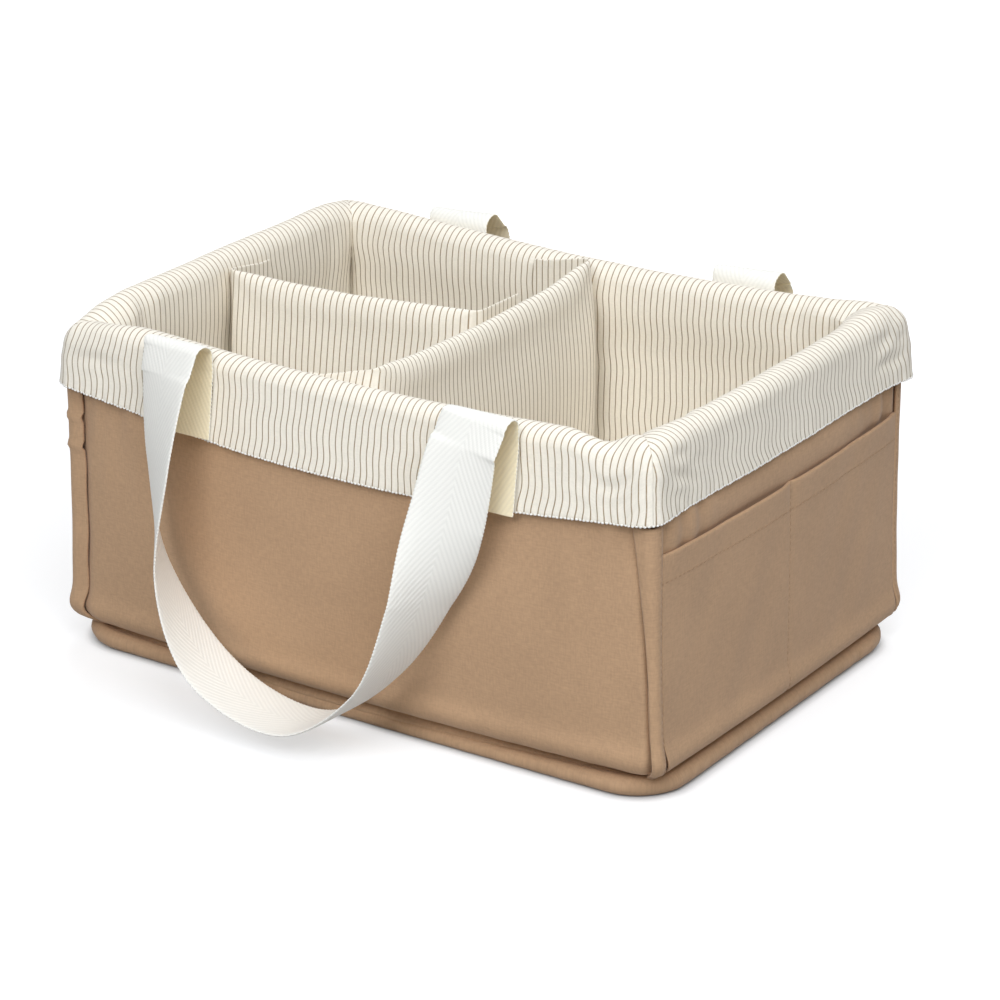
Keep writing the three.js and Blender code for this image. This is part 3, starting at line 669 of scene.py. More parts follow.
class Finish:
    """A material put together node by node on the principled shader."""

    def __init__(self, name, roughness, sheen=0.0):
        self.material = bpy.data.materials.new(name)
        self.material.use_nodes = True
        self.tree = self.material.node_tree
        self.shader = self.tree.nodes["Principled BSDF"]
        self.shader.inputs["Roughness"].default_value = roughness
        self.shader.inputs["Sheen Weight"].default_value = sheen
        self.shader.inputs["Specular IOR Level"].default_value = CLOTH_SPECULAR

    def put(self, socket, value):
        if isinstance(value, bpy.types.NodeSocket):
            self.tree.links.new(value, socket)
        else:
            socket.default_value = value

    def node(self, kind, inputs=None, **settings):
        made = self.tree.nodes.new(kind)
        for name, value in settings.items():
            setattr(made, name, value)
        for key, value in (inputs or {}).items():
            self.put(made.inputs[key], value)
        return made

    def math(self, operation, *values):
        made = self.node("ShaderNodeMath", dict(enumerate(values)), operation=operation)
        return made.outputs[0]

    def vector_math(self, operation, *values):
        made = self.node("ShaderNodeVectorMath", dict(enumerate(values)), operation=operation)
        return made.outputs[0]

    def smooth(self, value, low, high):
        """0 below low and 1 above high, with an eased step between."""
        inputs = {"Value": value, "From Min": low, "From Max": high}
        return self.node("ShaderNodeMapRange", inputs, interpolation_type="SMOOTHSTEP").outputs[0]

    def noise(self, place, scale, detail=2.0):
        inputs = {"Vector": place, "Scale": scale, "Detail": detail}
        return self.node("ShaderNodeTexNoise", inputs).outputs["Fac"]

    def stretched(self, place, scale):
        inputs = {"Vector": place, "Scale": scale}
        return self.node("ShaderNodeMapping", inputs).outputs[0]

    def blend(self, share, first, second):
        inputs = {0: share, 6: first, 7: second}
        return self.node("ShaderNodeMix", inputs, data_type="RGBA").outputs[2]

    def cloth_place(self):
        """Lengths along and across the cloth, in metres, as a vector and its two parts."""
        place = self.node("ShaderNodeUVMap", uv_map="cloth").outputs[0]
        parts = self.node("ShaderNodeSeparateXYZ", {0: place})
        return place, parts.outputs[0], parts.outputs[1]

    def wave(self, length, pitch):
        """Cosine of a length, from -1 to 1 once every pitch."""
        return self.math("COSINE", self.math("MULTIPLY", length, TURN / pitch))

    def finish(self, colour, height, depth, strength):
        """Joins the colour and a bump of the given depth to the shader."""
        inputs = {"Strength": strength, "Distance": depth, "Height": height}
        bump = self.node("ShaderNodeBump", inputs)
        self.put(self.shader.inputs["Base Color"], colour)
        self.put(self.shader.inputs["Normal"], bump.outputs[0])
        return self.material


def opaque(colour, level=1.0):
    """A colour scaled by a level, with full cover."""
    return (colour[0] * level, colour[1] * level, colour[2] * level, 1.0)


def yarn(finish, place, along, across):
    """Height of a plain weave: yarns that cross over and under, with slubs drawn out along both."""
    fine, long = SLUB_SCALES
    weave = finish.math("MULTIPLY", finish.wave(along, YARN_PITCH), finish.wave(across, YARN_PITCH))
    warp = finish.noise(finish.stretched(place, (fine, long, 1)), scale=1.0)
    weft = finish.noise(finish.stretched(place, (long, fine, 1)), scale=1.0)
    slubs = finish.math("ADD", warp, weft)
    return finish.math("MULTIPLY_ADD", weave, YARN_HEIGHT, slubs), slubs


def tan_cotton():
    """Plain tan cotton: slubby yarns, faint cloudiness."""
    finish = Finish("tan_weave", roughness=0.85, sheen=0.15)
    place, along, across = finish.cloth_place()
    height, slubs = yarn(finish, place, along, across)
    clouds = finish.math("MULTIPLY", finish.noise(place, scale=22, detail=3.0), CLOUD_SHARE)
    tone = finish.math("MULTIPLY_ADD", slubs, 1 - CLOUD_SHARE, clouds)
    tan = colours().tan
    shade = finish.smooth(tone, low=0.45, high=1.1)
    colour = finish.blend(shade, opaque(tan, level=0.88), opaque(tan, level=1.1))
    return finish.finish(colour, height, depth=0.15 * MM, strength=0.35)


def striped_cotton():
    """Cream cotton with woven stripes that run up the cloth and wander a little."""
    size = sizes()
    finish = Finish("striped_weave", roughness=0.85, sheen=0.15)
    place, along, across = finish.cloth_place()
    height, slubs = yarn(finish, place, along, across)
    drift = finish.math("MULTIPLY_ADD", finish.noise(place, scale=45), STRIPE_DRIFT, -STRIPE_DRIFT / 2)
    turns = finish.math("DIVIDE", finish.math("ADD", along, drift), size.stripe_pitch)
    away = finish.math("ABSOLUTE", finish.math("SUBTRACT", finish.math("FRACT", turns), 0.5))
    edge = size.stripe_width / size.stripe_pitch / 2
    beyond = finish.smooth(away, low=edge * (1 - STRIPE_BLUR), high=edge * (1 + STRIPE_BLUR))
    stripe = finish.math("SUBTRACT", 1.0, beyond)
    patchy = finish.math("MULTIPLY", stripe, finish.smooth(slubs, low=0.5, high=1.1))
    even = finish.math("MULTIPLY", stripe, 1 - STRIPE_SLUBS)
    ink = finish.math("MULTIPLY_ADD", patchy, STRIPE_SLUBS, even)
    cream = colours().cream
    shade = finish.smooth(slubs, low=0.6, high=1.4)
    ground = finish.blend(shade, opaque(cream, level=0.95), opaque(cream, level=1.03))
    colour = finish.blend(ink, ground, opaque(colours().stripe))
    return finish.finish(colour, height, depth=0.15 * MM, strength=0.3)


def webbing():
    """Cotton webbing in a herringbone: slanting ribs that meet in a point down the middle."""
    finish = Finish("herringbone", roughness=0.8, sheen=0.2)
    place, along, across = finish.cloth_place()
    slant = finish.math("MULTIPLY_ADD", finish.math("ABSOLUTE", across), RIB_SLOPE, along)
    ribs = finish.math("ADD", finish.wave(slant, RIB_PITCH), finish.noise(place, scale=1400))
    height = finish.math("MULTIPLY_ADD", finish.wave(along, PICK_PITCH), PICK_HEIGHT, ribs)
    # The inner side takes a warmer colour: painted warm shade inside the folds.
    inner = finish.node("ShaderNodeAttribute", attribute_name="inner").outputs["Fac"]
    white = finish.blend(inner, opaque(colours().webbing), opaque(colours().webbing_painted_shade))
    # The colour follows the weave's height, darker in its grooves and lighter on its ribs: painted shade
    # and painted highlight.
    tone = finish.smooth(height, low=-1.0, high=1.5)
    level = finish.math("MULTIPLY_ADD", tone, RIB_PAINTED_HIGHLIGHT, RIB_PAINTED_SHADE)
    levels = finish.node("ShaderNodeCombineXYZ", {0: level, 1: level, 2: level}).outputs[0]
    colour = finish.vector_math("MULTIPLY", white, levels)
    return finish.finish(colour, height, depth=0.12 * MM, strength=0.35)


def thread(name, colour):
    """Twisted sewing thread."""
    finish = Finish(name, roughness=0.7, sheen=0.1)
    _, along, across = finish.cloth_place()
    twist = finish.wave(finish.math("ADD", along, across), THREAD_TWIST)
    # Darker in the grooves of the twist: painted shade.
    shade = finish.smooth(twist, low=-1.0, high=1.0)
    tone = finish.blend(shade, opaque(colour, level=0.85), opaque(colour))
    return finish.finish(tone, twist, depth=0.1 * MM, strength=0.3)


def board():
    """Grey-brown fibre board with short flecks."""
    finish = Finish("fibre_board", roughness=0.9)
    place = finish.node("ShaderNodeTexCoord").outputs["Object"]
    fibres = finish.noise(finish.stretched(place, (300, 900, 300)), scale=1.0, detail=4.0)
    brown = colours().board
    shade = finish.smooth(fibres, low=0.3, high=0.7)
    colour = finish.blend(shade, opaque(brown, level=0.8), opaque(brown, level=1.1))
    return finish.finish(colour, fibres, depth=0.2 * MM, strength=0.3)


def fastening_tape():
    """Hook and loop tape: a close pile of small hooks in staggered rows."""
    finish = Finish("fastening_tape", roughness=0.75, sheen=0.2)
    place, along, across = finish.cloth_place()
    pile = finish.math("MULTIPLY", finish.wave(along, PILE_PITCH), finish.wave(across, PILE_PITCH))
    rough = finish.math("ADD", pile, finish.noise(place, scale=1800))
    pale = colours().tape
    # Darker where the pile is low: painted shade in its hollows.
    shade = finish.smooth(rough, low=-0.5, high=1.5)
    colour = finish.blend(shade, opaque(pale, level=0.75), opaque(pale))
    return finish.finish(colour, rough, depth=0.4 * MM, strength=0.6)


def finish_named(name, make, *values):
    """The material of that name, made on first use."""
    return bpy.data.materials.get(name) or make(*values)


# Linings

def hem_height(wall, share):
    """Height of the cuff's hem: a parabola that sags between the corners."""
    return sizes().cuff_hem - wall.hem_sag * (1 - share ** 2)


def at_corners(wall, setting, share):
    """A setting of the wall's two corners, each over its own half of the wall."""
    first, last = WALL_CORNERS[wall.name]
    return np.where(share < 0, getattr(first, setting), getattr(last, setting))


def rim_fullness(above):
    """How far the padding swells the lining inwards under the rim, by the height above the roll's
    springing."""
    return RIM_FULLNESS * hump(above + RIM_FULL_DEPTH, RIM_FULL_REACH)


def stacked(share, *parts):
    """Parts of a profile one after the other, each spread over the columns."""
    return np.concatenate([part + 0 * share for part in parts])


def lining_profile(wall, share, corner):
    """Distances out and heights of a lining's rows: straight up the inside, a half circle over the
    rim, down outside as a cuff that flares towards its hem, and a small turn back under the hem.
    Seams pull it in at the corners and the foot. At the corners the cuff stands out and droops, and
    the inner edge is bunched up."""
    layer = layers()
    inside_z = np.linspace(WALL_FOOT, layer.roll_height, INSIDE_ROWS)[:, None]
    turn = np.linspace(0, 1, ROLL_ROWS + 1)[1:, None]
    drop = np.linspace(0, 1, CUFF_ROWS + 1)[1:, None]
    fold = np.linspace(0, math.pi, HEM_ROWS + 1)[1:, None]
    back = np.linspace(0, 1, HEM_RETURN_ROWS + 1)[1:, None]
    puff = at_corners(wall, "puff", share) * share ** CUFF_PUFF_POWER
    bunch = at_corners(wall, "bunch", share) * hump(corner, BUNCH_REACH)
    droop = CUFF_DROOP * hump(corner, CUFF_DROOP_REACH)
    hem = hem_height(wall, share)
    above = inside_z - layer.roll_height
    pull = CORNER_PULL * (hump(corner, CORNER_PULL_REACH) + hump(corner, CREASE_REACH))
    pull = pull * clamp01(-above / CORNER_PULL_DEPTH)
    pull = pull + FOOT_PULL * hump(inside_z - WALL_FOOT, FOOT_PULL_REACH)
    swell = bunch * clamp01(above / BUNCH_DEPTH + 1) ** 2 + rim_fullness(above)
    inside_n = layer.lining_middle + pull - swell
    rise = layer.roll_radius * np.sin(math.pi * turn)
    gather = CUFF_TOP_PUFF * puff * turn ** 2 - (bunch + rim_fullness(rise)) * (1 - turn) ** 2
    roll_n = layer.roll_centre - layer.roll_radius * np.cos(math.pi * turn) + gather
    roll_z = layer.roll_height + rise - droop * turn ** CUFF_DROOP_POWER
    filling = mix(CUFF_TOP_PUFF, 1.0, np.sin(math.pi / 2 * clamp01(2 * drop)))
    cuff_n = layer.cuff_middle + puff * filling + CUFF_FLARE * drop ** 2
    cuff_z = mix(layer.roll_height - droop, hem + HEM_FOLD, drop)
    edge_n = layer.cuff_middle + puff + CUFF_FLARE
    fold_n = edge_n - HEM_FOLD * (1 - np.cos(fold))
    fold_z = hem + HEM_FOLD * (1 - np.sin(fold))
    back_n = edge_n - 2 * HEM_FOLD + 0 * back
    back_z = hem + HEM_FOLD + HEM_RETURN * back
    n = stacked(share, inside_n, roll_n, cuff_n, fold_n, back_n)
    z = stacked(share, inside_z, roll_z, cuff_z, fold_z, back_z)
    return n, z


def lining_surface(wall):
    """Lining of a wall and its lengths along and down the cloth: its profile, lifted at the corners
    and dipped beside them. Ripples, gathers and the hem's puckers move it in and out, and it sways
    along the wall, so that its stripes wander."""
    layer = layers()
    share = packed(LONG_LINING_COLUMNS if wall.is_long else END_LINING_COLUMNS)[None, :]
    corner = (1 - np.abs(share)) * wall_reach(wall, 0.0, layer.roll_height)
    n, z = lining_profile(wall, share, corner)
    hem = hem_height(wall, share)
    beside = hump(corner - DIP_PLACE, DIP_REACH) * (1 - hump(corner, DIP_CLEAR))
    lift = at_corners(wall, "lift", share) * hump(corner, LIFT_REACH)
    lift = lift - at_corners(wall, "dip", share) * beside
    z = z + lift * clamp01((z - hem) / (layer.roll_height - hem)) ** 2
    s = share * wall_reach(wall, n, z)
    v = np.cumsum(np.hypot(np.gradient(n, axis=0), np.gradient(z, axis=0)), axis=0)
    outside = clamp01((n - layer.lining_middle) / (layer.cuff_middle - layer.lining_middle))
    free = 1 - hump(corner, LINING_SEAM_REACH)
    inside_move = INSIDE_RIPPLES.height + ripple(INSIDE_RIPPLES, wall.seed, s, v)
    cuff_move = ripple(CUFF_RIPPLES, wall.seed, s, v) + ripple(CUFF_CREASES, wall.seed, s, v)
    drift = ripple(HEM_DRIFT, wall.seed, s, 0 * v)
    puckers = HEM_PUCKER * np.cos(TURN * s / HEM_PUCKER_PITCH + drift)
    puckers = puckers * hump(z - hem, HEM_PUCKER_REACH) * outside
    crumpled = hump(corner - CRUMPLE_PLACE, CRUMPLE_REACH) * outside
    crumpled = crumpled * clamp01((z - hem - CRUMPLE_START) / CRUMPLE_EASE)
    gathered = hump(corner - GATHER_PLACE, GATHER_REACH) * (1 - outside)
    gathered = gathered * clamp01((z - layer.roll_height) / GATHER_DEPTH + 1) ** 2
    n = n + free * (mix(inside_move, cuff_move, outside) + puckers)
    n = n + crumpled * ripple(CUFF_CRUMPLE, wall.seed, v, s)
    n = n + gathered * ripple(INSIDE_GATHERS, wall.seed, s, v)
    inside_sway = ripple(INSIDE_SWAY, wall.seed, v, s)
    cuff_sway = ripple(CUFF_SWAY, wall.seed, v, s)
    sway = free * mix(inside_sway, cuff_sway, outside)
    sway = sway + gathered * ripple(GATHER_SWAY, wall.seed, s, v)
    over = INSIDE_ROWS + ROLL_ROWS - 1
    cloth_s = np.concatenate([s[:over], np.broadcast_to(s[over], s[over:].shape)])
    return wall_point(wall, s + sway, n, z), np.stack([cloth_s, v], axis=-1)


class CADDY_OT_linings(bpy.types.Operator):
    """Make the striped linings, which turn down over the rim as a cuff"""

    bl_idname = "caddy.linings"
    bl_label = "Linings"

    def execute(self, context):
        layer = layers()
        finish = finish_named("striped_weave", striped_cotton)
        for name, wall in WALLS.items():
            points, uv = lining_surface(wall)
            mesh = build_mesh(f"{name}_lining_cloth", points, uv)
            width = 2 * float(wall_reach(wall, layer.cuff_middle, layer.roll_height))
            add_cloth(mesh, finish, [f"{name}_lining"], CLOTH_THICKNESS)
        return {"FINISHED"}


# Panels

def foot_swell(z):
    """How far the outer cloths swell over the base's lip before they are drawn in to its seam."""
    foot = z - WALL_FOOT
    swell = FOOT_SWELL * hump(foot - FOOT_SWELL_HEIGHT, FOOT_SWELL_REACH)
    return swell - FOOT_DRAW * hump(foot, FOOT_DRAW_REACH)


def welt_wrap(corner, z):
    """How far a welt reaches round its corner over the long wall, at a height."""
    rise = clamp01((z - WELT_TURN_FOOT) / WELT_TURN_HEIGHT)
    return mix(corner.foot_wrap, corner.top_wrap, rise ** 2)


def panel_surface(wall):
    """Outer panel of a wall and its lengths along and down the cloth: a crowned sheet that runs
    down from under the cuff and turns in at the corner seams and at the foot."""
    size = sizes()
    top = layers().roll_height - PANEL_TOP_GAP
    share = packed(LONG_PANEL_COLUMNS if wall.is_long else END_PANEL_COLUMNS)[None, :]
    down = np.linspace(0, 1, PANEL_ROWS)[:, None] ** PANEL_ROW_POWER
    sag = LIP_THINNING * (1 - share ** 2) if wall.is_long else 0 * share
    z = mix(top, WALL_FOOT - PANEL_TUCK - sag, down) + 0 * share
    s = share * wall_reach(wall, 0.0, z)
    corner = (1 - np.abs(share)) * wall_reach(wall, 0.0, z)
    foot = z - WALL_FOOT
    pull = LONG_PANEL_PULL if wall.is_long else END_PANEL_PULL
    first, last = WALL_CORNERS[wall.name]
    reach = np.where(share < 0, welt_wrap(first, z), welt_wrap(last, z)) + WELT_EDGE
    n = -PANEL_SINK - pull * np.exp(-(corner / reach) ** PANEL_PULL_POWER) + foot_swell(z)
    free = (1 - hump(corner, PANEL_CORNER_REACH)) * (1 - hump(foot, PANEL_FOOT_REACH))
    n = n + free * ripple(PANEL_RIPPLES, wall.seed, s, z)
    near_seam = hump(foot - PUCKER_FOOT, PUCKER_REACH) + hump(corner - PUCKER_CORNER, PUCKER_REACH)
    n = n + near_seam * ripple(PANEL_PUCKERS, wall.seed, s, z)
    if not wall.is_long:
        above = (z - size.pocket_height) / (size.cuff_hem - size.pocket_height)
        swell = np.sin(math.pi * clamp01(above)) ** OVERHANG_POWER
        n = n + POCKET_OVERHANG * swell * (1 - hump(corner, OVERHANG_CLEAR))
    gathered = hump(corner - PANEL_GATHER_PLACE, PANEL_GATHER_REACH)
    gathered = gathered * clamp01((z - PANEL_GATHER_FOOT) / PANEL_GATHER_HEIGHT) ** 2
    n = n + gathered * ripple(PANEL_GATHERS, wall.seed, s, z)
    return wall_point(wall, s, n, z), np.stack([s, top - z], axis=-1)


class CADDY_OT_panels(bpy.types.Operator):
    """Make the outer panels over their padding"""

    bl_idname = "caddy.panels"
    bl_label = "Panels"

    def execute(self, context):
        finish = finish_named("tan_weave", tan_cotton)
        for name, wall in WALLS.items():
            points, uv = panel_surface(wall)
            mesh = build_mesh(f"{name}_panel_cloth", points, uv)
            nodes = [f"{name}_panel", f"{name}_pad"]
            width = 2 * float(wall_reach(wall, 0.0, sizes().cuff_hem))
            add_cloth(mesh, finish, nodes, CLOTH_THICKNESS)
        return {"FINISHED"}


# Welts and pockets

def welt_surface(wall, sign):
    """Seam strip at one end of an end wall: from its sewn edge on that wall to the corner seam and
    on round the corner, a little way over the long wall, where its free edge stands off."""
    z = np.linspace(sizes().cuff_hem - WELT_TOP_GAP, WALL_FOOT - PANEL_TUCK, WELT_ROWS)[:, None]
    share = np.linspace(0, 1, WELT_COLUMNS)[None, :]
    corner = WALL_CORNERS[wall.name][0 if sign < 0 else 1]
    across = share * (WELT_WIDTH + welt_wrap(corner, z))
    past = np.maximum(across - WELT_WIDTH, 0.0)
    waver = ripple(WELT_WAVER, wall.seed + sign, z, across)
    n = WELT_GAP + WELT_THICKNESS / 2 + WELT_LIFT * np.sin(math.pi * share) + share * waver
    hem = sizes().pocket_height
    ridges = hump(z - hem, RIDGE_REACH) + hump(z - hem + RIDGE_SPACING, RIDGE_REACH)
    n = n + foot_swell(z) - WELT_SINK * clamp01(past / WELT_SINK_REACH) + corner.ridge * ridges
    long_wall = WALLS["rear" if (wall.turn > 0) == (sign > 0) else "front"]
    end_reach = wall_reach(wall, n, z)
    long_reach = wall_reach(long_wall, n, z)
    on_end = wall_point(wall, sign * (end_reach - np.maximum(WELT_WIDTH - across, 0.0)), n, z)
    on_long = wall_point(long_wall, -sign * (long_reach - past), n, z)
    points = np.where((across > WELT_WIDTH)[..., None], on_long, on_end)
    uv = np.stack(np.broadcast_arrays(across, z), axis=-1)
    return (points, uv) if sign > 0 else (points[:, ::-1], uv[:, ::-1])


# The corner of each welt, the end wall it is sewn to and the sign of that wall's end.
WELTS = (("front_right", "right", -1), ("rear_right", "right", 1),
         ("front_left", "left", 1), ("rear_left", "left", -1))


class CADDY_OT_welts(bpy.types.Operator):
    """Make the seam strips down the corners"""

    bl_idname = "caddy.welts"
    bl_label = "Corner welts"

    def execute(self, context):
        finish = finish_named("tan_weave", tan_cotton)
        for place, side, sign in WELTS:
            points, uv = welt_surface(WALLS[side], sign)
            mesh = build_mesh(f"corner_strip_{place}", points, uv)
            nodes = [f"corner_welt_{place}"]
            width = float(np.mean([path_length(row) for row in points]))
            add_cloth(mesh, finish, nodes, WELT_THICKNESS - WELT_GAP)
        return {"FINISHED"}


def pocket_surface(wall):
    """Pocket on an end wall: a sheet sewn down its sides, foot and middle, so that its two mouths
    gape by half waves that grow with height, and a hem folded back inside the mouths."""
    size = sizes()
    share = packed(POCKET_COLUMNS)[None, :]
    back = np.linspace(0, 1, POCKET_HEM_ROWS)[:, None]
    fold = np.linspace(0, math.pi, POCKET_FOLD_ROWS + 2)[1:-1, None]
    down = np.linspace(0, 1, POCKET_ROWS)[:, None]
    top = size.pocket_height - HEM_FOLD
    z = stacked(share, mix(top - POCKET_HEM, top, back), top + HEM_FOLD * np.sin(fold),
                mix(top, WALL_FOOT, down))
    depth = stacked(share, 0 * back - 2 * HEM_FOLD, -HEM_FOLD * (1 + np.cos(fold)), 0 * down)
    half = wall_reach(wall, 0.0, z) - WELT_WIDTH + 2 * LAYER_GAP
    s = share * half
    rise = clamp01((z - WALL_FOOT) / (size.pocket_height - WALL_FOOT))
    mouth = clamp01((z - size.pocket_height) / POCKET_GAPE_DEPTH + 1)
    beside = hump((1 - np.abs(share)) * half, POCKET_SIDE_REACH)
    gape = POCKET_GAPE * mouth ** 2 * (1 - beside) * (1 - hump(s, POCKET_MIDDLE_REACH))
    seam = POCKET_SEAM * hump(share, POCKET_SEAM_SHARE)
    free = np.sin(math.pi * np.abs(share)) * clamp01(rise / POCKET_FREE_SHARE)
    n = POCKET_STAND + depth + gape - seam + foot_swell(z)
    n = n + free * ripple(POCKET_RIPPLES, wall.seed, s, z)
    return wall_point(wall, s, n, z), np.stack([s, z], axis=-1)


class CADDY_OT_pockets(bpy.types.Operator):
    """Make the double pocket on each end"""

    bl_idname = "caddy.pockets"
    bl_label = "End pockets"

    def execute(self, context):
        finish = finish_named("tan_weave", tan_cotton)
        for side in ("left", "right"):
            points, uv = pocket_surface(WALLS[side])
            mesh = build_mesh(f"{side}_pocket_cloth", points, uv)
            add_cloth(mesh, finish, [f"{side}_pocket"], POCKET_CLOTH)
        return {"FINISHED"}


# Base

def base_corner_centre():
    """Distances from the caddy's middle to the centre of a round corner of the base."""
    size = sizes()
    return (size.body_length / 2 + BASE_LIP_ENDS - BASE_CORNER,
            size.body_width / 2 + BASE_LIP_SIDES - BASE_CORNER)


def base_plan():
    """Plan of the base as a closed loop of evenly spread points, and the length travelled to each: a
    rectangle with round corners. Each point of a corner is its centre plus the radius at an angle;
    straight sides join the corners."""
    centre_x, centre_y = base_corner_centre()
    angle = np.linspace(0, TURN, BASE_ANGLES + 1) + TURN / BASE_ANGLES / 4
    x = np.sign(np.cos(angle)) * centre_x + BASE_CORNER * np.cos(angle)
    y = np.sign(np.sin(angle)) * centre_y + BASE_CORNER * np.sin(angle)
    travelled = lengths_along(np.stack([x, y], axis=-1))
    wanted = np.linspace(0, travelled[-1], BASE_COLUMNS, endpoint=False)
    plan = [np.interp(wanted, travelled, x), np.interp(wanted, travelled, y)]
    return np.stack(plan, axis=-1), wanted


def base_outward(plan):
    """Unit directions out of a plan loop: its slope turned by a right angle."""
    slope = np.roll(plan, -1, axis=0) - np.roll(plan, 1, axis=0)
    return unit(np.stack([slope[:, 1], -slope[:, 0]], axis=-1))


def base_surface():
    """Base cover: flat above and below, with a half-round padded lip that stands a little above the
    flat top. Its rings are the plan drawn in and shrunk to the middle, from the top round the lip
    to the underside."""
    size = sizes()
    plan, travelled = base_plan()
    along_side = clamp01(np.abs(plan[:, 1]) / (size.body_width / 2)) ** LIP_SIDE_POWER
    to_end = clamp01(np.abs(plan[:, 0]) / (size.body_length / 2))
    middle = (BASE_EDGE - LIP_THINNING * along_side * (1 - to_end ** 2))[None, :] / 2
    angle = np.linspace(math.pi / 2, -math.pi / 2, LIP_ROWS)[:, None]
    puckers = ripple(BASE_PUCKERS, 0, travelled, 0 * travelled)[None, :]
    drawn_in = middle * (1 - np.cos(angle)) - puckers * np.cos(angle)
    lip = plan[None] - base_outward(plan)[None] * drawn_in[..., None]
    lip_z = middle + middle * np.sin(angle)
    shrink = np.array(BASE_RINGS)[:, None, None]
    flat = np.concatenate([lip[0] * shrink, lip, lip[-1] * shrink[::-1]])
    level = np.full_like(lip_z[:1], BASE_TOP)
    z = np.concatenate([level] * len(shrink) + [lip_z] + [lip_z[-1:]] * len(shrink))
    return np.concatenate([flat, np.maximum(z, 0.0)[..., None]], axis=-1)


def floor_surface():
    """Lining floor: a sheet that ends under the walls, level in the middle and drawn down to its
    edges."""
    half_x = LINING_FLOOR_LENGTH / 2
    half_y = LINING_FLOOR_WIDTH / 2
    across = packed(LINING_FLOOR_ROWS)[:, None]
    along = packed(LINING_FLOOR_COLUMNS)[None, :]
    x = half_x * along + 0 * across
    y = -half_y * across + 0 * along
    edge = np.minimum((1 - np.abs(along)) * half_x, (1 - np.abs(across)) * half_y)
    z = LINING_FLOOR_LEVEL - LINING_FLOOR_DROP * hump(edge, LINING_FLOOR_EDGE)
    z = z + ripple(LINING_FLOOR_RIPPLES, 0, x, y)
    return np.stack([x, y, z], axis=-1), np.stack([x, y], axis=-1)


class CADDY_OT_base(bpy.types.Operator):
    """Make the base cover with its padded lip and the lining floor"""

    bl_idname = "caddy.base"
    bl_label = "Base"

    def execute(self, context):
        points = base_surface()
        flat = points[..., :2]
        mesh = build_mesh("base_cover", points, np.concatenate([flat, flat[:, :1]], axis=1), closed=True)
        finish = finish_named("tan_weave", tan_cotton)
        cover = add_piece(mesh, finish, "caddy", ["base_panel", "base_pad"])
        striped = finish_named("striped_weave", striped_cotton)
        add_cloth(build_mesh("floor_lining", *floor_surface()), striped,
                  ["base_lining"], CLOTH_THICKNESS)
        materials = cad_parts["base_board"].data.materials
        materials.clear()
        materials.append(finish_named("fibre_board", board))
        return {"FINISHED"}


# Handles

def smooth_curve(places, count):
    """Smooth curve through places: a centripetal spline between the second and the second last,
    whose slope at each place comes from its neighbours, weighted by the root of their distances."""
    before, start, end, after = places[:-3], places[1:-2], places[2:-1], places[3:]
    t = np.linspace(0, len(start), count)
    span = np.minimum(t.astype(int), len(start) - 1)
    gaps = np.sqrt(np.linalg.norm(np.diff(places, axis=0), axis=1))[:, None]
    d0, d1, d2 = gaps[:-2], gaps[1:-1], gaps[2:]
    leave = d1 * ((start - before) / d0 - (end - before) / (d0 + d1) + (end - start) / d1)
    arrive = d1 * ((end - start) / d1 - (after - start) / (d1 + d2) + (after - end) / d2)
    u = (t - span)[:, None]
    p, q, a, b = start[span], end[span], leave[span], arrive[span]
    return p + u * (a + u * (3 * (q - p) - 2 * a - b + u * (2 * (p - q) + a + b)))


def lengths_along(path):
    """Length travelled along a path to each of its points."""
    return np.concatenate([[0.0], np.cumsum(np.linalg.norm(np.diff(path, axis=0), axis=1))])


def path_length(path):
    """Whole length of a path."""
    return float(lengths_along(path)[-1])


def evenly(path, step):
    """Places that cut a path into even steps, as row numbers with fractions and as lengths."""
    travelled = lengths_along(path)
    wanted = np.linspace(0, travelled[-1], max(int(travelled[-1] / step), LEAST_STEPS))
    return np.interp(wanted, travelled, np.arange(len(path))), wanted


def at_rows(values, rows):
    """Values of an array at row numbers with fractions."""
    columns = [np.interp(rows, np.arange(len(values)), values[:, k]) for k in range(values.shape[1])]
    return np.stack(columns, axis=-1)


def unit(vectors):
    """Vectors scaled to length 1."""
    return vectors / np.linalg.norm(vectors, axis=-1, keepdims=True)


def square_to(vectors, along):
    """Unit vectors square to the unit directions along, as near as can be to the given ones."""
    return unit(vectors - along * np.sum(vectors * along, axis=1, keepdims=True))


def flat_section(count):
    """Section of webbing or tape as shares of its half width and half thickness: the cosine and the
    sine of an angle, each raised to a power below 1, so that the oval is blunt."""
    angle = np.linspace(0, TURN, count, endpoint=False)
    wide = np.sign(np.cos(angle)) * np.abs(np.cos(angle)) ** SECTION_SIDE_POWER
    thick = -np.sign(np.sin(angle)) * np.abs(np.sin(angle)) ** SECTION_FACE_POWER
    return wide, thick


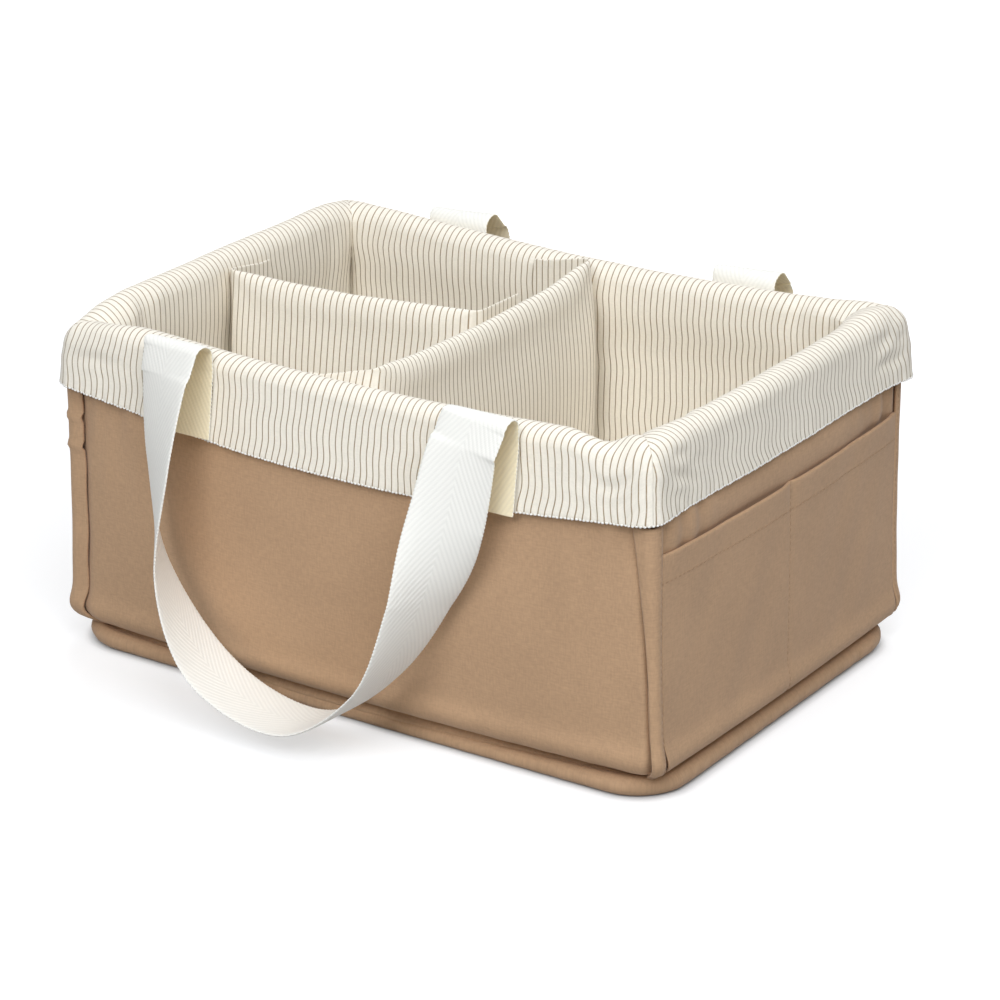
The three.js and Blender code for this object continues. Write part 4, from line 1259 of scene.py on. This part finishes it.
def webbing_band(path, across, first_length, growth):
    """Webbing along a path: a flat section with round edges, turned so that its width follows the
    directions across. Its length counts from the first length, up or down by the growth's sign. The
    edges are notched once for every pick of the weave. Also gives which points lie on the inner
    side, where a warmer colour paints the shade inside the folds."""
    size = sizes()
    rows, travelled = evenly(path, SELVEDGE_PITCH / STEPS_PER_NOTCH)
    centre = at_rows(path, rows)
    along = unit(np.gradient(centre, axis=0))
    wide = square_to(at_rows(across, rows), along)
    thick = np.cross(along, wide)
    level, rise = flat_section(WEBBING_POINTS)
    length = first_length + growth * travelled
    notch = SELVEDGE_DEPTH * np.abs(np.sin(math.pi * length / SELVEDGE_PITCH))
    half_width = (size.webbing_width / 2 - notch)[:, None] * level[None, :]
    half_thick = size.webbing_thickness * WEBBING_FULLNESS * rise
    points = (centre[:, None] + half_width[..., None] * wide[:, None]
              + half_thick[None, :, None] * thick[:, None])
    offset = np.concatenate([half_width, half_width[:, :1]], axis=1)
    uv = np.stack([length[:, None] + 0 * offset, offset], axis=-1)
    inner = np.broadcast_to(rise < 0, points.shape[:2]).astype(float)
    return points, uv, inner, travelled[-1]


def mark_painted_shade(mesh, inner):
    """Keeps on each point how far it lies on the webbing's inner side, where the folds' warm shade is
    painted.
    """
    mark = mesh.attributes.new("inner", "FLOAT", "POINT")
    mark.data.foreach_set("value", inner.ravel())


# A handle's places on its wall: the places of its tabs along it, the distance out and the height at
# which they leave the cuff, and the heights at which the folds begin and their arcs spring.
Strap = namedtuple("Strap", "wall along_x places tab_out tab_top foot spring lean folds")


def strap_places(handle):
    """Where a handle leaves the cuff. Both tabs share the distance out and the height."""
    size = sizes()
    wall = WALLS[handle.wall]
    along_x = math.cos(math.radians(wall.turn))
    places = [along_x * (handle.shift + sign * size.handle_spacing / 2) for sign in (-1, 1)]
    rims = [tab_place(wall, s, np.zeros(1)) for s in places]
    tab_out = max(float(out[0]) for out, _ in rims)
    tab_top = max(float(z[0]) for _, z in rims) + TAB_RISE
    foot = tab_top + LAYER_GAP / 2
    spring = tab_top + LAYER_GAP + handle.rise
    return Strap(wall, along_x, places, tab_out, tab_top, foot, spring, handle.lean, handle.folds)


def tab_place(wall, s, drop):
    """Distance out and height of a tab's middle where it lies on the cuff, for shares of the drop
    from the rim to the hem."""
    size = sizes()
    layer = layers()
    share = s / wall_reach(wall, 0.0, size.cuff_hem)
    z = mix(layer.roll_height, hem_height(wall, share), drop)
    n = layer.cuff_middle + size.cloth / 2 + CUFF_FLARE * drop ** 2
    edges = [s - size.webbing_width / 2, s, s + size.webbing_width / 2]
    face = np.max([wall_place(wall, edge, n, z)[1] for edge in edges], axis=0)
    return face + LAYER_GAP + size.webbing_thickness / 2, wall_place(wall, s, n, z)[2]


def tab_path(strap, s):
    """Path of a tab up the cuff from its hem, as points along, out and up, ending upright."""
    drop = np.linspace(TAB_DROP, 0, TAB_ROWS)
    out, z = tab_place(strap.wall, s, drop)
    out = np.append(out + (strap.tab_out - out[-1]) * (1 - drop), strap.tab_out)
    return s + 0 * out, out, np.append(z, strap.foot)


def fold_path(strap, hand):
    """Path of a fold, as points along, out and up: an upright leg, an arc over the top and a leg
    that leans out and steps towards the handle's middle as it drops."""
    angle = np.linspace(math.pi, strap.lean, FOLD_ARC_ROWS)
    out = strap.tab_out + FOLD_RADIUS + FOLD_RADIUS * np.cos(angle)
    z = strap.spring + FOLD_RADIUS * np.sin(angle)
    last = out[-1] + (z[-1] - strap.foot) * math.tan(strap.lean)
    out = np.concatenate([[strap.tab_out], out, [last]])
    z = np.concatenate([[strap.foot], z, [strap.foot]])
    outer = out > strap.tab_out + FOLD_RADIUS
    dropped = np.where(outer, strap.spring + FOLD_RADIUS - z, 0.0)
    return strap.places[hand] - strap.along_x * strap.folds[hand].step * dropped, out, z


def fold_across(strap, hand, out, z):
    """Directions across a fold, which is a cone that opens to the right: each runs along the wall
    and leans by the opening times the path's share of the way out."""
    opening = math.tan(math.radians(strap.folds[hand].opening)) * strap.along_x / (out[-1] - out[0])
    away = opening * (out - strap.tab_out)
    up = opening * FOLD_LIFT_SHARE * np.maximum(z - strap.spring, 0.0)
    return unit(turned(strap.wall, 1.0 + 0 * out, away, up))


def loop_path(strap, shift):
    """Path of a hanging handle and its directions across: straight on from the outer leg of one
    fold, smooth through the route's places and straight into the outer leg of the other."""
    size = sizes()
    legs = [turned(strap.wall, *fold_path(strap, hand))[-2:] for hand in (0, 1)]
    left, right = [np.vstack([leg, mix(leg[0], leg[1], 1 + FOLD_RUN)]) for leg in legs]
    route = np.array(HANDLE_ROUTE)
    x = shift + route[:, 0] * size.handle_spacing / 2
    nearest = -strap.along_x * left[1, 1]
    furthest = strap.tab_out + 2 * FOLD_RADIUS + size.handle_swing
    out = mix(nearest, furthest, route[:, 1])
    z = mix(HANDLE_BOTTOM, strap.foot, route[:, 2])
    hanging = np.stack([x, -strap.along_x * out, z], axis=-1)
    places = np.concatenate([left, hanging, right[::-1]])
    turn = np.radians([*strap.folds[0].turns, *route[:, 3], *strap.folds[1].turns[::-1]])
    across = np.stack([-np.sin(turn), -strap.along_x * np.cos(turn), 0 * turn], axis=-1)
    return smooth_curve(places, HANDLE_ROWS), smooth_curve(across, HANDLE_ROWS)


class CADDY_OT_handles(bpy.types.Operator):
    """Make the webbing handles: sewn tabs, folds and hanging loops"""

    bl_idname = "caddy.handles"
    bl_label = "Handles"

    def execute(self, context):
        finish = finish_named("herringbone", webbing)
        for handle in HANDLES:
            strap = strap_places(handle)
            body = f"{handle.wall}_handle"
            path, across = loop_path(strap, handle.shift)
            points, uv, inner, length = webbing_band(path, across, 0.0, 1)
            inside = inner if strap.along_x > 0 else 1 - inner
            mesh = build_mesh(f"{body}_webbing", points, uv, closed=True)
            # Near its folds the loop's inner side carries the painted shade, which fades out away from
            # them.
            to_end = np.minimum(uv[:, :1, 0], length - uv[:, :1, 0])
            mark_painted_shade(mesh, inside * clamp01(1 - to_end / PAINTED_SHADE_FADE))
            loop = add_piece(mesh, finish, body, [body])
            for hand, side in enumerate(("left", "right")):
                edge = (0.0, length)[hand]
                edge = self.flat_part(strap, hand, fold_path(strap, hand), f"{body}_{side}_fold", edge)
                tab = tab_path(strap, strap.places[hand])
                self.flat_part(strap, hand, tab, f"{body}_{side}_tab", edge)
        return {"FINISHED"}

    def flat_part(self, strap, hand, route, node, edge):
        """A tab or a fold, whose width runs along the wall. A tab rides on the caddy and stays on the
        cuff; a fold rides on no body. The webbing's length runs on from the edge nearer the loop;
        gives the length at the other edge."""
        along, out, z = route
        path = turned(strap.wall, along, out, z)
        is_fold = node.endswith("fold")
        flat_across = np.broadcast_to(turned(strap.wall, 1.0, 0.0, 0.0), path.shape)
        across = fold_across(strap, hand, out, z) if is_fold else flat_across
        growth = (1, -1)[hand]
        first_length = edge - growth * path_length(path)
        points, uv, inner, length = webbing_band(path, across, first_length, growth)
        mesh = build_mesh(f"{node}_webbing", points, uv, closed=True)
        # The inner side of a tab or fold carries the painted shade.
        mark_painted_shade(mesh, inner)
        finish = finish_named("herringbone", webbing)
        part = add_piece(mesh, finish, None if is_fold else "caddy", [node])
        if is_fold:
            start, end = (turned(strap.wall, strap.places[hand],
                                 strap.tab_out + share * FOLD_RADIUS, strap.tab_top)
                          for share in FOLD_BEND)
            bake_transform(part)
        return first_length


# Dividers

def plan_path(corners):
    """Plan path of a divider through corners, straight between them and rounded at each inner one,
    cut into even steps. Also gives the length travelled."""
    pieces = [corners[:1]]
    for before, corner, after in zip(corners[:-2], corners[1:-1], corners[2:]):
        into = unit(corner - before)
        out_of = unit(after - corner)
        half_turn = math.acos(float(np.clip(np.dot(into, out_of), -1, 1))) / 2
        back = DIVIDER_BEND * math.tan(half_turn)
        share = np.linspace(0, 1, DIVIDER_BEND_ROWS)[:, None]
        first = corner - into * back
        last = corner + out_of * back
        pieces.append((1 - share) ** 2 * first + 2 * share * (1 - share) * corner + share ** 2 * last)
    pieces.append(corners[-1:])
    path = np.concatenate(pieces)
    rows, travelled = evenly(path, OVERLOCK_PITCH / 2)
    return at_rows(path, rows), travelled


def divider_swell(climb):
    """Half thickness of a divider over half that of its foam: fullest above mid height, as a sine
    of the climb squared."""
    return FOOT_FULLNESS + MIDDLE_FULLNESS * np.sin(math.pi * climb ** 2)


def divider_surface(path, travelled, bends, slopes, peaks, fit):
    """Divider with its flaps: an upright loop carried along a plan path. The loop goes down one
    side, round the foot, up the other side and over the top. From the seam at each end its half
    thickness grows by a quarter circle from the flap's to the foam's, more slowly along the top,
    which can rise to a peak there. The flaps' tops slope down to their free ends and are notched by
    their overlocked edge."""
    size = sizes()
    first, last = bends
    inner = np.minimum(travelled - first, last - travelled)
    padded = np.sqrt(1 - (1 - clamp01(inner / PILLOW_EASE)) ** 2)[:, None]
    beyond = clamp01(-inner / size.flap_width)
    middle = clamp01(inner / (last - first) * 2)
    top_padded = np.sqrt(1 - (1 - clamp01(inner / PEAK_EASE)) ** 2)[:, None]
    is_first = travelled < (first + last) / 2
    slope = np.where(is_first, slopes[0], slopes[1])
    peak = np.where(is_first, peaks[0], peaks[1]) * hump(inner, PEAK_EASE)
    notch = OVERLOCK_DEPTH * np.abs(np.sin(math.pi * travelled / OVERLOCK_PITCH)) * (inner < 0)
    top = DIVIDER_TOP + peak - DIVIDER_SAG * middle - slope * beyond - notch
    side = np.linspace(1, 0, DIVIDER_SIDE_ROWS)
    arc = np.linspace(0, math.pi, DIVIDER_ARC_ROWS + 2)[1:-1]
    face = np.ones_like(side)
    offset = np.concatenate([face, np.cos(arc), -face, -np.cos(arc)])[None, :]
    climb = np.concatenate([side, 0 * arc, side[::-1], 1 + 0 * arc])[None, :]
    round_off = np.concatenate([0 * face, -np.sin(arc), 0 * face, np.sin(arc)])[None, :]
    half = mix(FLAP_EDGE, divider_swell(climb) * size.divider_thickness / 2, padded)
    end_half = mix(FLAP_EDGE, divider_swell(0.0) * size.divider_thickness / 2, top_padded ** 2)
    half = mix(half, end_half, climb ** DIVIDER_END_POWER)
    end_rise = DIVIDER_END_RISE * end_half
    z = mix(DIVIDER_FOOT + end_rise, top[:, None] - end_rise, climb) + end_rise * round_off
    ahead = unit(np.gradient(path, axis=0))
    aside = np.stack([-ahead[:, 1], ahead[:, 0]], axis=-1)
    away = half * offset + padded * ripple(DIVIDER_RIPPLES, int(first / MM), travelled[:, None], z)
    flat = path[:, None] + away[..., None] * aside[:, None]
    points = np.concatenate([fit(flat, z), z[..., None]], axis=-1)
    around = np.concatenate([z, z[:, :1]], axis=1)
    uv = np.stack([travelled[:, None] + 0 * around, around], axis=-1)
    return points, uv


def cross_bulge(z):
    """How far the middle of the cross divider's face stands out beyond its foam, at a height."""
    half = sizes().divider_thickness / 2
    end_rise = DIVIDER_END_RISE * divider_swell(0.0) * half
    foot = DIVIDER_FOOT + end_rise
    crest = DIVIDER_TOP - DIVIDER_SAG - end_rise
    return half * (divider_swell(clamp01((z - foot) / (crest - foot))) - 1)


def cross_divider():
    """Cross divider from front to rear, with flaps that turn to the left along both walls. The
    plan is drawn at one height and stretched to the walls' distance at every other; towards the
    top the front flap leans in from the padded rim."""
    size = sizes()
    layer = layers()
    front = float(wall_place(WALLS["front"], 0.0, layer.flap_middle, DIVIDER_LEVEL)[1])
    rear = float(wall_place(WALLS["rear"], 0.0, layer.flap_middle, DIVIDER_LEVEL)[1])
    free = -(size.divider_thickness / 2 + size.flap_width)
    corners = np.array([[free, -front], [0.0, -front], [0.0, rear], [free, rear]])
    path, travelled = plan_path(corners)

    def fit(flat, z):
        x = flat[..., 0]
        y = flat[..., 1]
        height = np.maximum(z, WALL_FOOT)
        to_front = wall_place(WALLS["front"], x, layer.flap_middle, height)[1] / front
        to_rear = wall_place(WALLS["rear"], -x, layer.flap_middle, height)[1] / rear
        climb = clamp01((z - FLAP_LEAN_FOOT) / (DIVIDER_TOP - FLAP_LEAN_FOOT))
        to_front = to_front - CROSS_FLAP_LEAN * climb ** 2 / front
        return np.stack([x, y * np.where(y < 0, to_front, to_rear)], axis=-1)

    bends = -free, travelled[-1] + free
    return divider_surface(path, travelled, bends, CROSS_FLAP_SLOPES, CROSS_PEAKS, fit)


def short_divider():
    """Short divider from the left wall to the cross divider, with flaps that turn to the rear."""
    size = sizes()
    layer = layers()
    left = float(wall_place(WALLS["left"], 0.0, layer.flap_middle, DIVIDER_LEVEL)[1])
    cross_face = -size.divider_thickness / 2 - 3 * LAYER_GAP - 2 * TAPE_THICKNESS - FLAP_CLOTH / 2
    reach = size.divider_thickness / 2 + size.flap_width
    corners = np.array([
        [-left, SHORT_DIVIDER_LEFT + reach], [-left, SHORT_DIVIDER_LEFT],
        [cross_face, SHORT_DIVIDER_RIGHT], [cross_face, SHORT_DIVIDER_RIGHT + reach]])
    path, travelled = plan_path(corners)

    def fit(flat, z):
        x = flat[..., 0]
        y = flat[..., 1]
        height = np.maximum(z, WALL_FOOT)
        to_left = wall_place(WALLS["left"], -y, layer.flap_middle, height)[1] - left
        weight = clamp01((cross_face - x) / (cross_face + left))
        return np.stack([x - mix(cross_bulge(z), to_left, weight), y], axis=-1)

    bends = reach, travelled[-1] - reach
    return divider_surface(path, travelled, bends, SHORT_FLAP_SLOPES, SHORT_PEAKS, fit)


class CADDY_OT_dividers(bpy.types.Operator):
    """Make the two padded dividers with their flaps"""

    bl_idname = "caddy.dividers"
    bl_label = "Dividers"

    def execute(self, context):
        finish = finish_named("striped_weave", striped_cotton)
        for name, make in (("cross_divider", cross_divider), ("short_divider", short_divider)):
            points, uv = make()
            mesh = build_mesh(f"{name}_cloth", points, uv, closed=True)
            nodes = [f"{name}_cover", f"{name}_core"]
            piece = add_piece(mesh, finish, name, nodes)
        return {"FINISHED"}


# Tapes

def tape_surface(place, start, middle):
    """Tape on an upright surface: a flat section with round edges carried up it. The place
    function takes a length along, a distance out and a height."""
    level, rise = flat_section(TAPE_POINTS)
    z = np.linspace(TAPE_FOOT, TAPE_TOP, TAPE_ROWS)[:, None]
    along = start + TAPE_WIDTH / 2 * (1 + level) + 0 * z
    out = middle + TAPE_THICKNESS * TAPE_FULLNESS * rise + 0 * z
    points = place(along, out, z + 0 * along)
    wrapped = np.concatenate([along, along[:, :1]], axis=1)
    return points, np.stack([wrapped, z + 0 * wrapped], axis=-1)


def on_cross_divider(along, out, z):
    """Place on the left face of the cross divider, which looks to the left."""
    return np.stack([-sizes().divider_thickness / 2 - cross_bulge(z) - out, -along, z], axis=-1)


class CADDY_OT_tapes(bpy.types.Operator):
    """Make the tapes that hold the dividers"""

    bl_idname = "caddy.tapes"
    bl_label = "Tapes"

    def execute(self, context):
        layer = layers()
        first = sizes().divider_thickness / 2 + TAPE_INSET
        last = first + TAPE_WIDTH
        spots = {
            "front": (partial(wall_point, WALLS["front"]), -last),
            "rear": (partial(wall_point, WALLS["rear"]), first),
            "left": (partial(wall_point, WALLS["left"]), -SHORT_DIVIDER_LEFT - last),
            "cross": (on_cross_divider, -SHORT_DIVIDER_RIGHT - last),
        }
        loop_on_cross = LAYER_GAP + TAPE_THICKNESS / 2
        hook_on_cross = loop_on_cross + TAPE_THICKNESS + LAYER_GAP
        tapes = (
            ("front_wall_loop_tape", "caddy", "front", layer.wall_tape),
            ("rear_wall_loop_tape", "caddy", "rear", layer.wall_tape),
            ("left_wall_loop_tape", "caddy", "left", layer.wall_tape),
            ("cross_divider_front_hook_tape", "cross_divider", "front", layer.hook_tape),
            ("cross_divider_rear_hook_tape", "cross_divider", "rear", layer.hook_tape),
            ("short_divider_left_hook_tape", "short_divider", "left", layer.hook_tape),
            ("cross_divider_loop_tape", "cross_divider", "cross", loop_on_cross),
            ("short_divider_right_hook_tape", "short_divider", "cross", hook_on_cross),
        )
        finish = finish_named("fastening_tape", fastening_tape)
        for node, body, spot, middle in tapes:
            points, uv = tape_surface(*spots[spot], middle)
            mesh = build_mesh(f"{node}_pile", points, uv, closed=True)
            piece = add_piece(mesh, finish, body, [node])
        return {"FINISHED"}


# Stitches

def stitch_shape():
    """One stitch as rings round its length, from end to end: a half wave with pointed ends."""
    x, radius = np.array(STITCH_RINGS).T[..., None]
    angle = np.linspace(0, TURN, STITCH_SIDES, endpoint=False)
    y = radius * np.cos(angle)
    z = -radius * np.sin(angle)
    return np.stack([x + 0 * y, y, z], axis=-1)


def add_stitches(name, rows, colour, slot, length, thickness):
    """Rows of stitches as one piece. Each row has points and the directions out of the cloth; each
    stitch is the stitch shape turned to the row's slope and laid on the cloth."""
    shape = stitch_shape()
    rings, around = shape.shape[:2]
    scale = np.array([length / 2, thickness / 2, thickness / 2])
    local = (shape * scale).reshape(-1, 3)
    row, column = np.meshgrid(np.arange(rings - 1), np.arange(around), indexing="ij")
    row = row.ravel()
    column = column.ravel()
    beside = (column + 1) % around
    side = np.stack([row * around + column, (row + 1) * around + column,
                     (row + 1) * around + beside, row * around + beside], axis=1)
    start_cap = np.arange(around)
    end_cap = (rings - 1) * around + np.arange(around)[::-1]
    points = []
    for path, out in rows:
        places, _ = evenly(path, length * STITCH_SPACING)
        centre = at_rows(path, places)
        along = unit(np.gradient(centre, axis=0))
        normal = square_to(at_rows(out, places), along)
        across = np.cross(normal, along)
        axes = np.stack([along, across, normal], axis=1)
        points.append(centre[:, None] + np.einsum("vk,skc->svc", local, axes))
    points = np.concatenate(points)
    count, each = points.shape[:2]
    first = (np.arange(count) * each)[:, None, None]
    faces = (side[None] + first).reshape(-1, 4).tolist()
    faces += (start_cap[None] + first[:, 0]).tolist()
    faces += (end_cap[None] + first[:, 0]).tolist()
    mesh = bpy.data.meshes.new(name)
    mesh.from_pydata(points.reshape(-1, 3).tolist(), [], faces)
    mesh.shade_smooth()
    lengths = np.tile(local[:, :2], (count, 1))
    corners = np.zeros(len(mesh.loops), dtype=np.int32)
    mesh.loops.foreach_get("vertex_index", corners)
    mesh.uv_layers.new(name="cloth").data.foreach_set("uv", lengths[corners].ravel())
    finish = finish_named(f"{slot}_thread", thread, f"{slot}_thread", colour)
    add_piece(mesh, finish, "caddy")


def row_on(points, row, lift):
    """A grid's row and its directions out, raised off the cloth."""
    out = grid_normals(points)[row]
    return points[row] + out * lift, out


def column_on(points, column, rows, lift):
    """Part of a grid's column and its directions out, raised off the cloth."""
    out = grid_normals(points)[rows, column]
    return points[rows, column] + out * lift, out


class CADDY_OT_stitches(bpy.types.Operator):
    """Make the rows of stitches"""

    bl_idname = "caddy.stitches"
    bl_label = "Stitches"

    def execute(self, context):
        stitch = sizes().stitch
        hem_row = INSIDE_ROWS + ROLL_ROWS + CUFF_ROWS
        hems = [row_on(lining_surface(wall)[0], hem_row, STITCH_LIFT) for wall in WALLS.values()]
        add_stitches("cuff_hem_stitches", hems, colours().thread, "striped_cotton",
                     stitch * HEM_STITCH_SHARE, HEM_STITCH_THICKNESS)
        mouth_row = POCKET_HEM_ROWS + POCKET_FOLD_ROWS
        seams = []
        for side in ("left", "right"):
            points = pocket_surface(WALLS[side])[0]
            seams.append(row_on(points, mouth_row + POCKET_STITCH_ROW, STITCH_LIFT))
            seams.append(column_on(points, POCKET_COLUMNS // 2, slice(mouth_row, None), STITCH_LIFT))
        for _, side, sign in WELTS:
            points = welt_surface(WALLS[side], sign)[0]
            column = WELT_STITCH_COLUMN if sign > 0 else WELT_COLUMNS - 1 - WELT_STITCH_COLUMN
            seams.append(column_on(points, column, slice(None), WELT_STITCH_LIFT))
        tan = [value * SEAM_THREAD_LEVEL for value in colours().tan]
        add_stitches("pocket_and_welt_stitches", seams, tan, "tan_cotton", stitch, SEAM_STITCH_THICKNESS)
        return {"FINISHED"}


# Stage

class CADDY_OT_stage(bpy.types.Operator):
    """Set the camera, the pale floor and the soft light"""

    bl_idname = "caddy.stage"
    bl_label = "Stage"

    def execute(self, context):
        self.add_camera()
        self.add_floor()
        self.add_light()
        context.scene.view_settings.view_transform = "Standard"
        return {"FINISHED"}

    def add_camera(self):
        """Camera at an azimuth from the front and an elevation, looking at a target."""
        camera = bpy.data.objects.new("camera", bpy.data.cameras.new("camera"))
        camera.data.sensor_width = SENSOR_WIDTH
        camera.data.lens = SENSOR_WIDTH * FOCAL_PIXELS / IMAGE_WIDTH
        level = math.cos(CAMERA_ELEVATION)
        back = Vector((math.sin(CAMERA_AZIMUTH) * level, -math.cos(CAMERA_AZIMUTH) * level,
                       math.sin(CAMERA_ELEVATION)))
        right = Vector((math.cos(CAMERA_AZIMUTH), math.sin(CAMERA_AZIMUTH), 0.0))
        axes = Matrix((right, back.cross(right), back)).transposed()
        place = Matrix.Translation(CAMERA_TARGET + back * CAMERA_DISTANCE)
        camera.matrix_world = place @ axes.to_4x4()
        bpy.context.scene.collection.objects.link(camera)
        bpy.context.scene.camera = camera

    def add_floor(self):
        """Wide flat floor that shows white to the camera and keeps the caddy's shadow."""
        side = np.linspace(-FLOOR_HALF, FLOOR_HALF, FLOOR_POINTS)
        x, y = np.meshgrid(side, side[::-1])
        points = np.stack([x, y, 0 * x], axis=-1)
        mesh = build_mesh("floor", points, points[..., :2])
        finish = Finish("floor", roughness=0.9)
        finish.shader.inputs["Base Color"].default_value = opaque(colours().floor)
        finish.shader.inputs["Emission Color"].default_value = WHITE
        lift = self.floor_lift(finish)
        finish.put(finish.shader.inputs["Emission Strength"], self.seen(finish, lift))
        mesh.materials.append(finish.material)
        floor = bpy.data.objects.new("floor", mesh)
        bpy.context.scene.collection.objects.link(floor)

    def floor_lift(self, finish):
        """Strength that grows with the distance out from the base: quickly from none under its edge
        and then slowly to full white. The none under the edge leaves the floor dark there, a painted
        contact shadow round the base."""
        half = Vector((*base_corner_centre(), 0.0))
        place = finish.node("ShaderNodeTexCoord").outputs["Object"]
        aside = finish.vector_math("ABSOLUTE", place)
        beyond = finish.vector_math("MAXIMUM", finish.vector_math("SUBTRACT", aside, half), (0, 0, 0))
        away = finish.node("ShaderNodeVectorMath", {0: beyond}, operation="LENGTH").outputs["Value"]
        away = finish.math("SUBTRACT", away, BASE_CORNER)
        # No glow under the base and at its edge: a painted contact shadow.
        under = finish.smooth(away, -PAINTED_CONTACT_SHADOW_REACH, PAINTED_CONTACT_SHADOW_REACH)
        near = finish.math("MULTIPLY", under, FLOOR_LIFT_NEAR)
        more = FLOOR_LIFT_FAR - FLOOR_LIFT_NEAR
        return finish.math("MULTIPLY_ADD", finish.smooth(away, *FLOOR_REACH), more, near)

    def seen(self, finish, strength):
        """A strength for rays from the camera, from gloss and through clear things, else none."""
        path = finish.node("ShaderNodeLightPath")
        rays = finish.math("MAXIMUM", path.outputs["Is Camera Ray"], path.outputs["Is Glossy Ray"])
        rays = finish.math("MAXIMUM", rays, path.outputs["Is Transmission Ray"])
        return finish.math("MULTIPLY", rays, strength)

    def add_light(self):
        """Even white surroundings and soft lamps above the front, the right and the rear."""
        world = bpy.data.worlds.new("surroundings")
        world.use_nodes = True
        nodes = world.node_tree.nodes
        links = world.node_tree.links
        surround = nodes["Background"]
        surround.inputs["Strength"].default_value = WORLD_LEVEL
        surround.inputs["Color"].default_value = WHITE
        white = nodes.new("ShaderNodeBackground")
        white.inputs["Color"].default_value = WHITE
        path = nodes.new("ShaderNodeLightPath")
        choose = nodes.new("ShaderNodeMixShader")
        links.new(path.outputs["Is Camera Ray"], choose.inputs[0])
        links.new(surround.outputs[0], choose.inputs[1])
        links.new(white.outputs[0], choose.inputs[2])
        links.new(choose.outputs[0], nodes["World Output"].inputs["Surface"])
        bpy.context.scene.world = world
        for name, place, size, power in LAMPS:
            lamp = bpy.data.lights.new(name, "AREA")
            lamp.shape = "DISK"
            lamp.size = size
            lamp.energy = power
            lamp.color = LAMP_COLOUR
            holder = bpy.data.objects.new(name, lamp)
            aim = LAMP_TARGET - place
            holder.location = place
            holder.rotation_euler = aim.to_track_quat("-Z", "Y").to_euler()
            bpy.context.scene.collection.objects.link(holder)


class CADDY_PT_pieces(bpy.types.Panel):
    """Lists the caddy's pieces, sizes and colours."""

    bl_idname = "CADDY_PT_pieces"
    bl_label = "Diaper caddy"
    bl_space_type = "VIEW_3D"
    bl_region_type = "UI"
    bl_category = "Caddy"

    def draw(self, context):
        for operator in OPERATORS:
            self.layout.operator(operator.bl_idname)
        for group in (context.scene.caddy_sizes, context.scene.caddy_colours):
            for name in group.bl_rna.properties.keys():
                if name not in ("rna_type", "name"):
                    self.layout.prop(group, name)


OPERATORS = (
    CADDY_OT_stage, CADDY_OT_linings, CADDY_OT_panels, CADDY_OT_welts, CADDY_OT_pockets,
    CADDY_OT_base, CADDY_OT_handles, CADDY_OT_dividers, CADDY_OT_tapes, CADDY_OT_stitches,
)
CLASSES = (CaddySizes, CaddyColours, *OPERATORS, CADDY_PT_pieces)


def register():
    for kind in CLASSES:
        bpy.utils.register_class(kind)
    bpy.types.Scene.caddy_sizes = PointerProperty(type=CaddySizes)
    bpy.types.Scene.caddy_colours = PointerProperty(type=CaddyColours)


def unregister():
    del bpy.types.Scene.caddy_colours
    del bpy.types.Scene.caddy_sizes
    for kind in reversed(CLASSES):
        bpy.utils.unregister_class(kind)


def main():
    register()
    for operator in OPERATORS:
        group, name = operator.bl_idname.split(".")
        getattr(getattr(bpy.ops, group), name)()


if __name__ == "__main__":
    main()
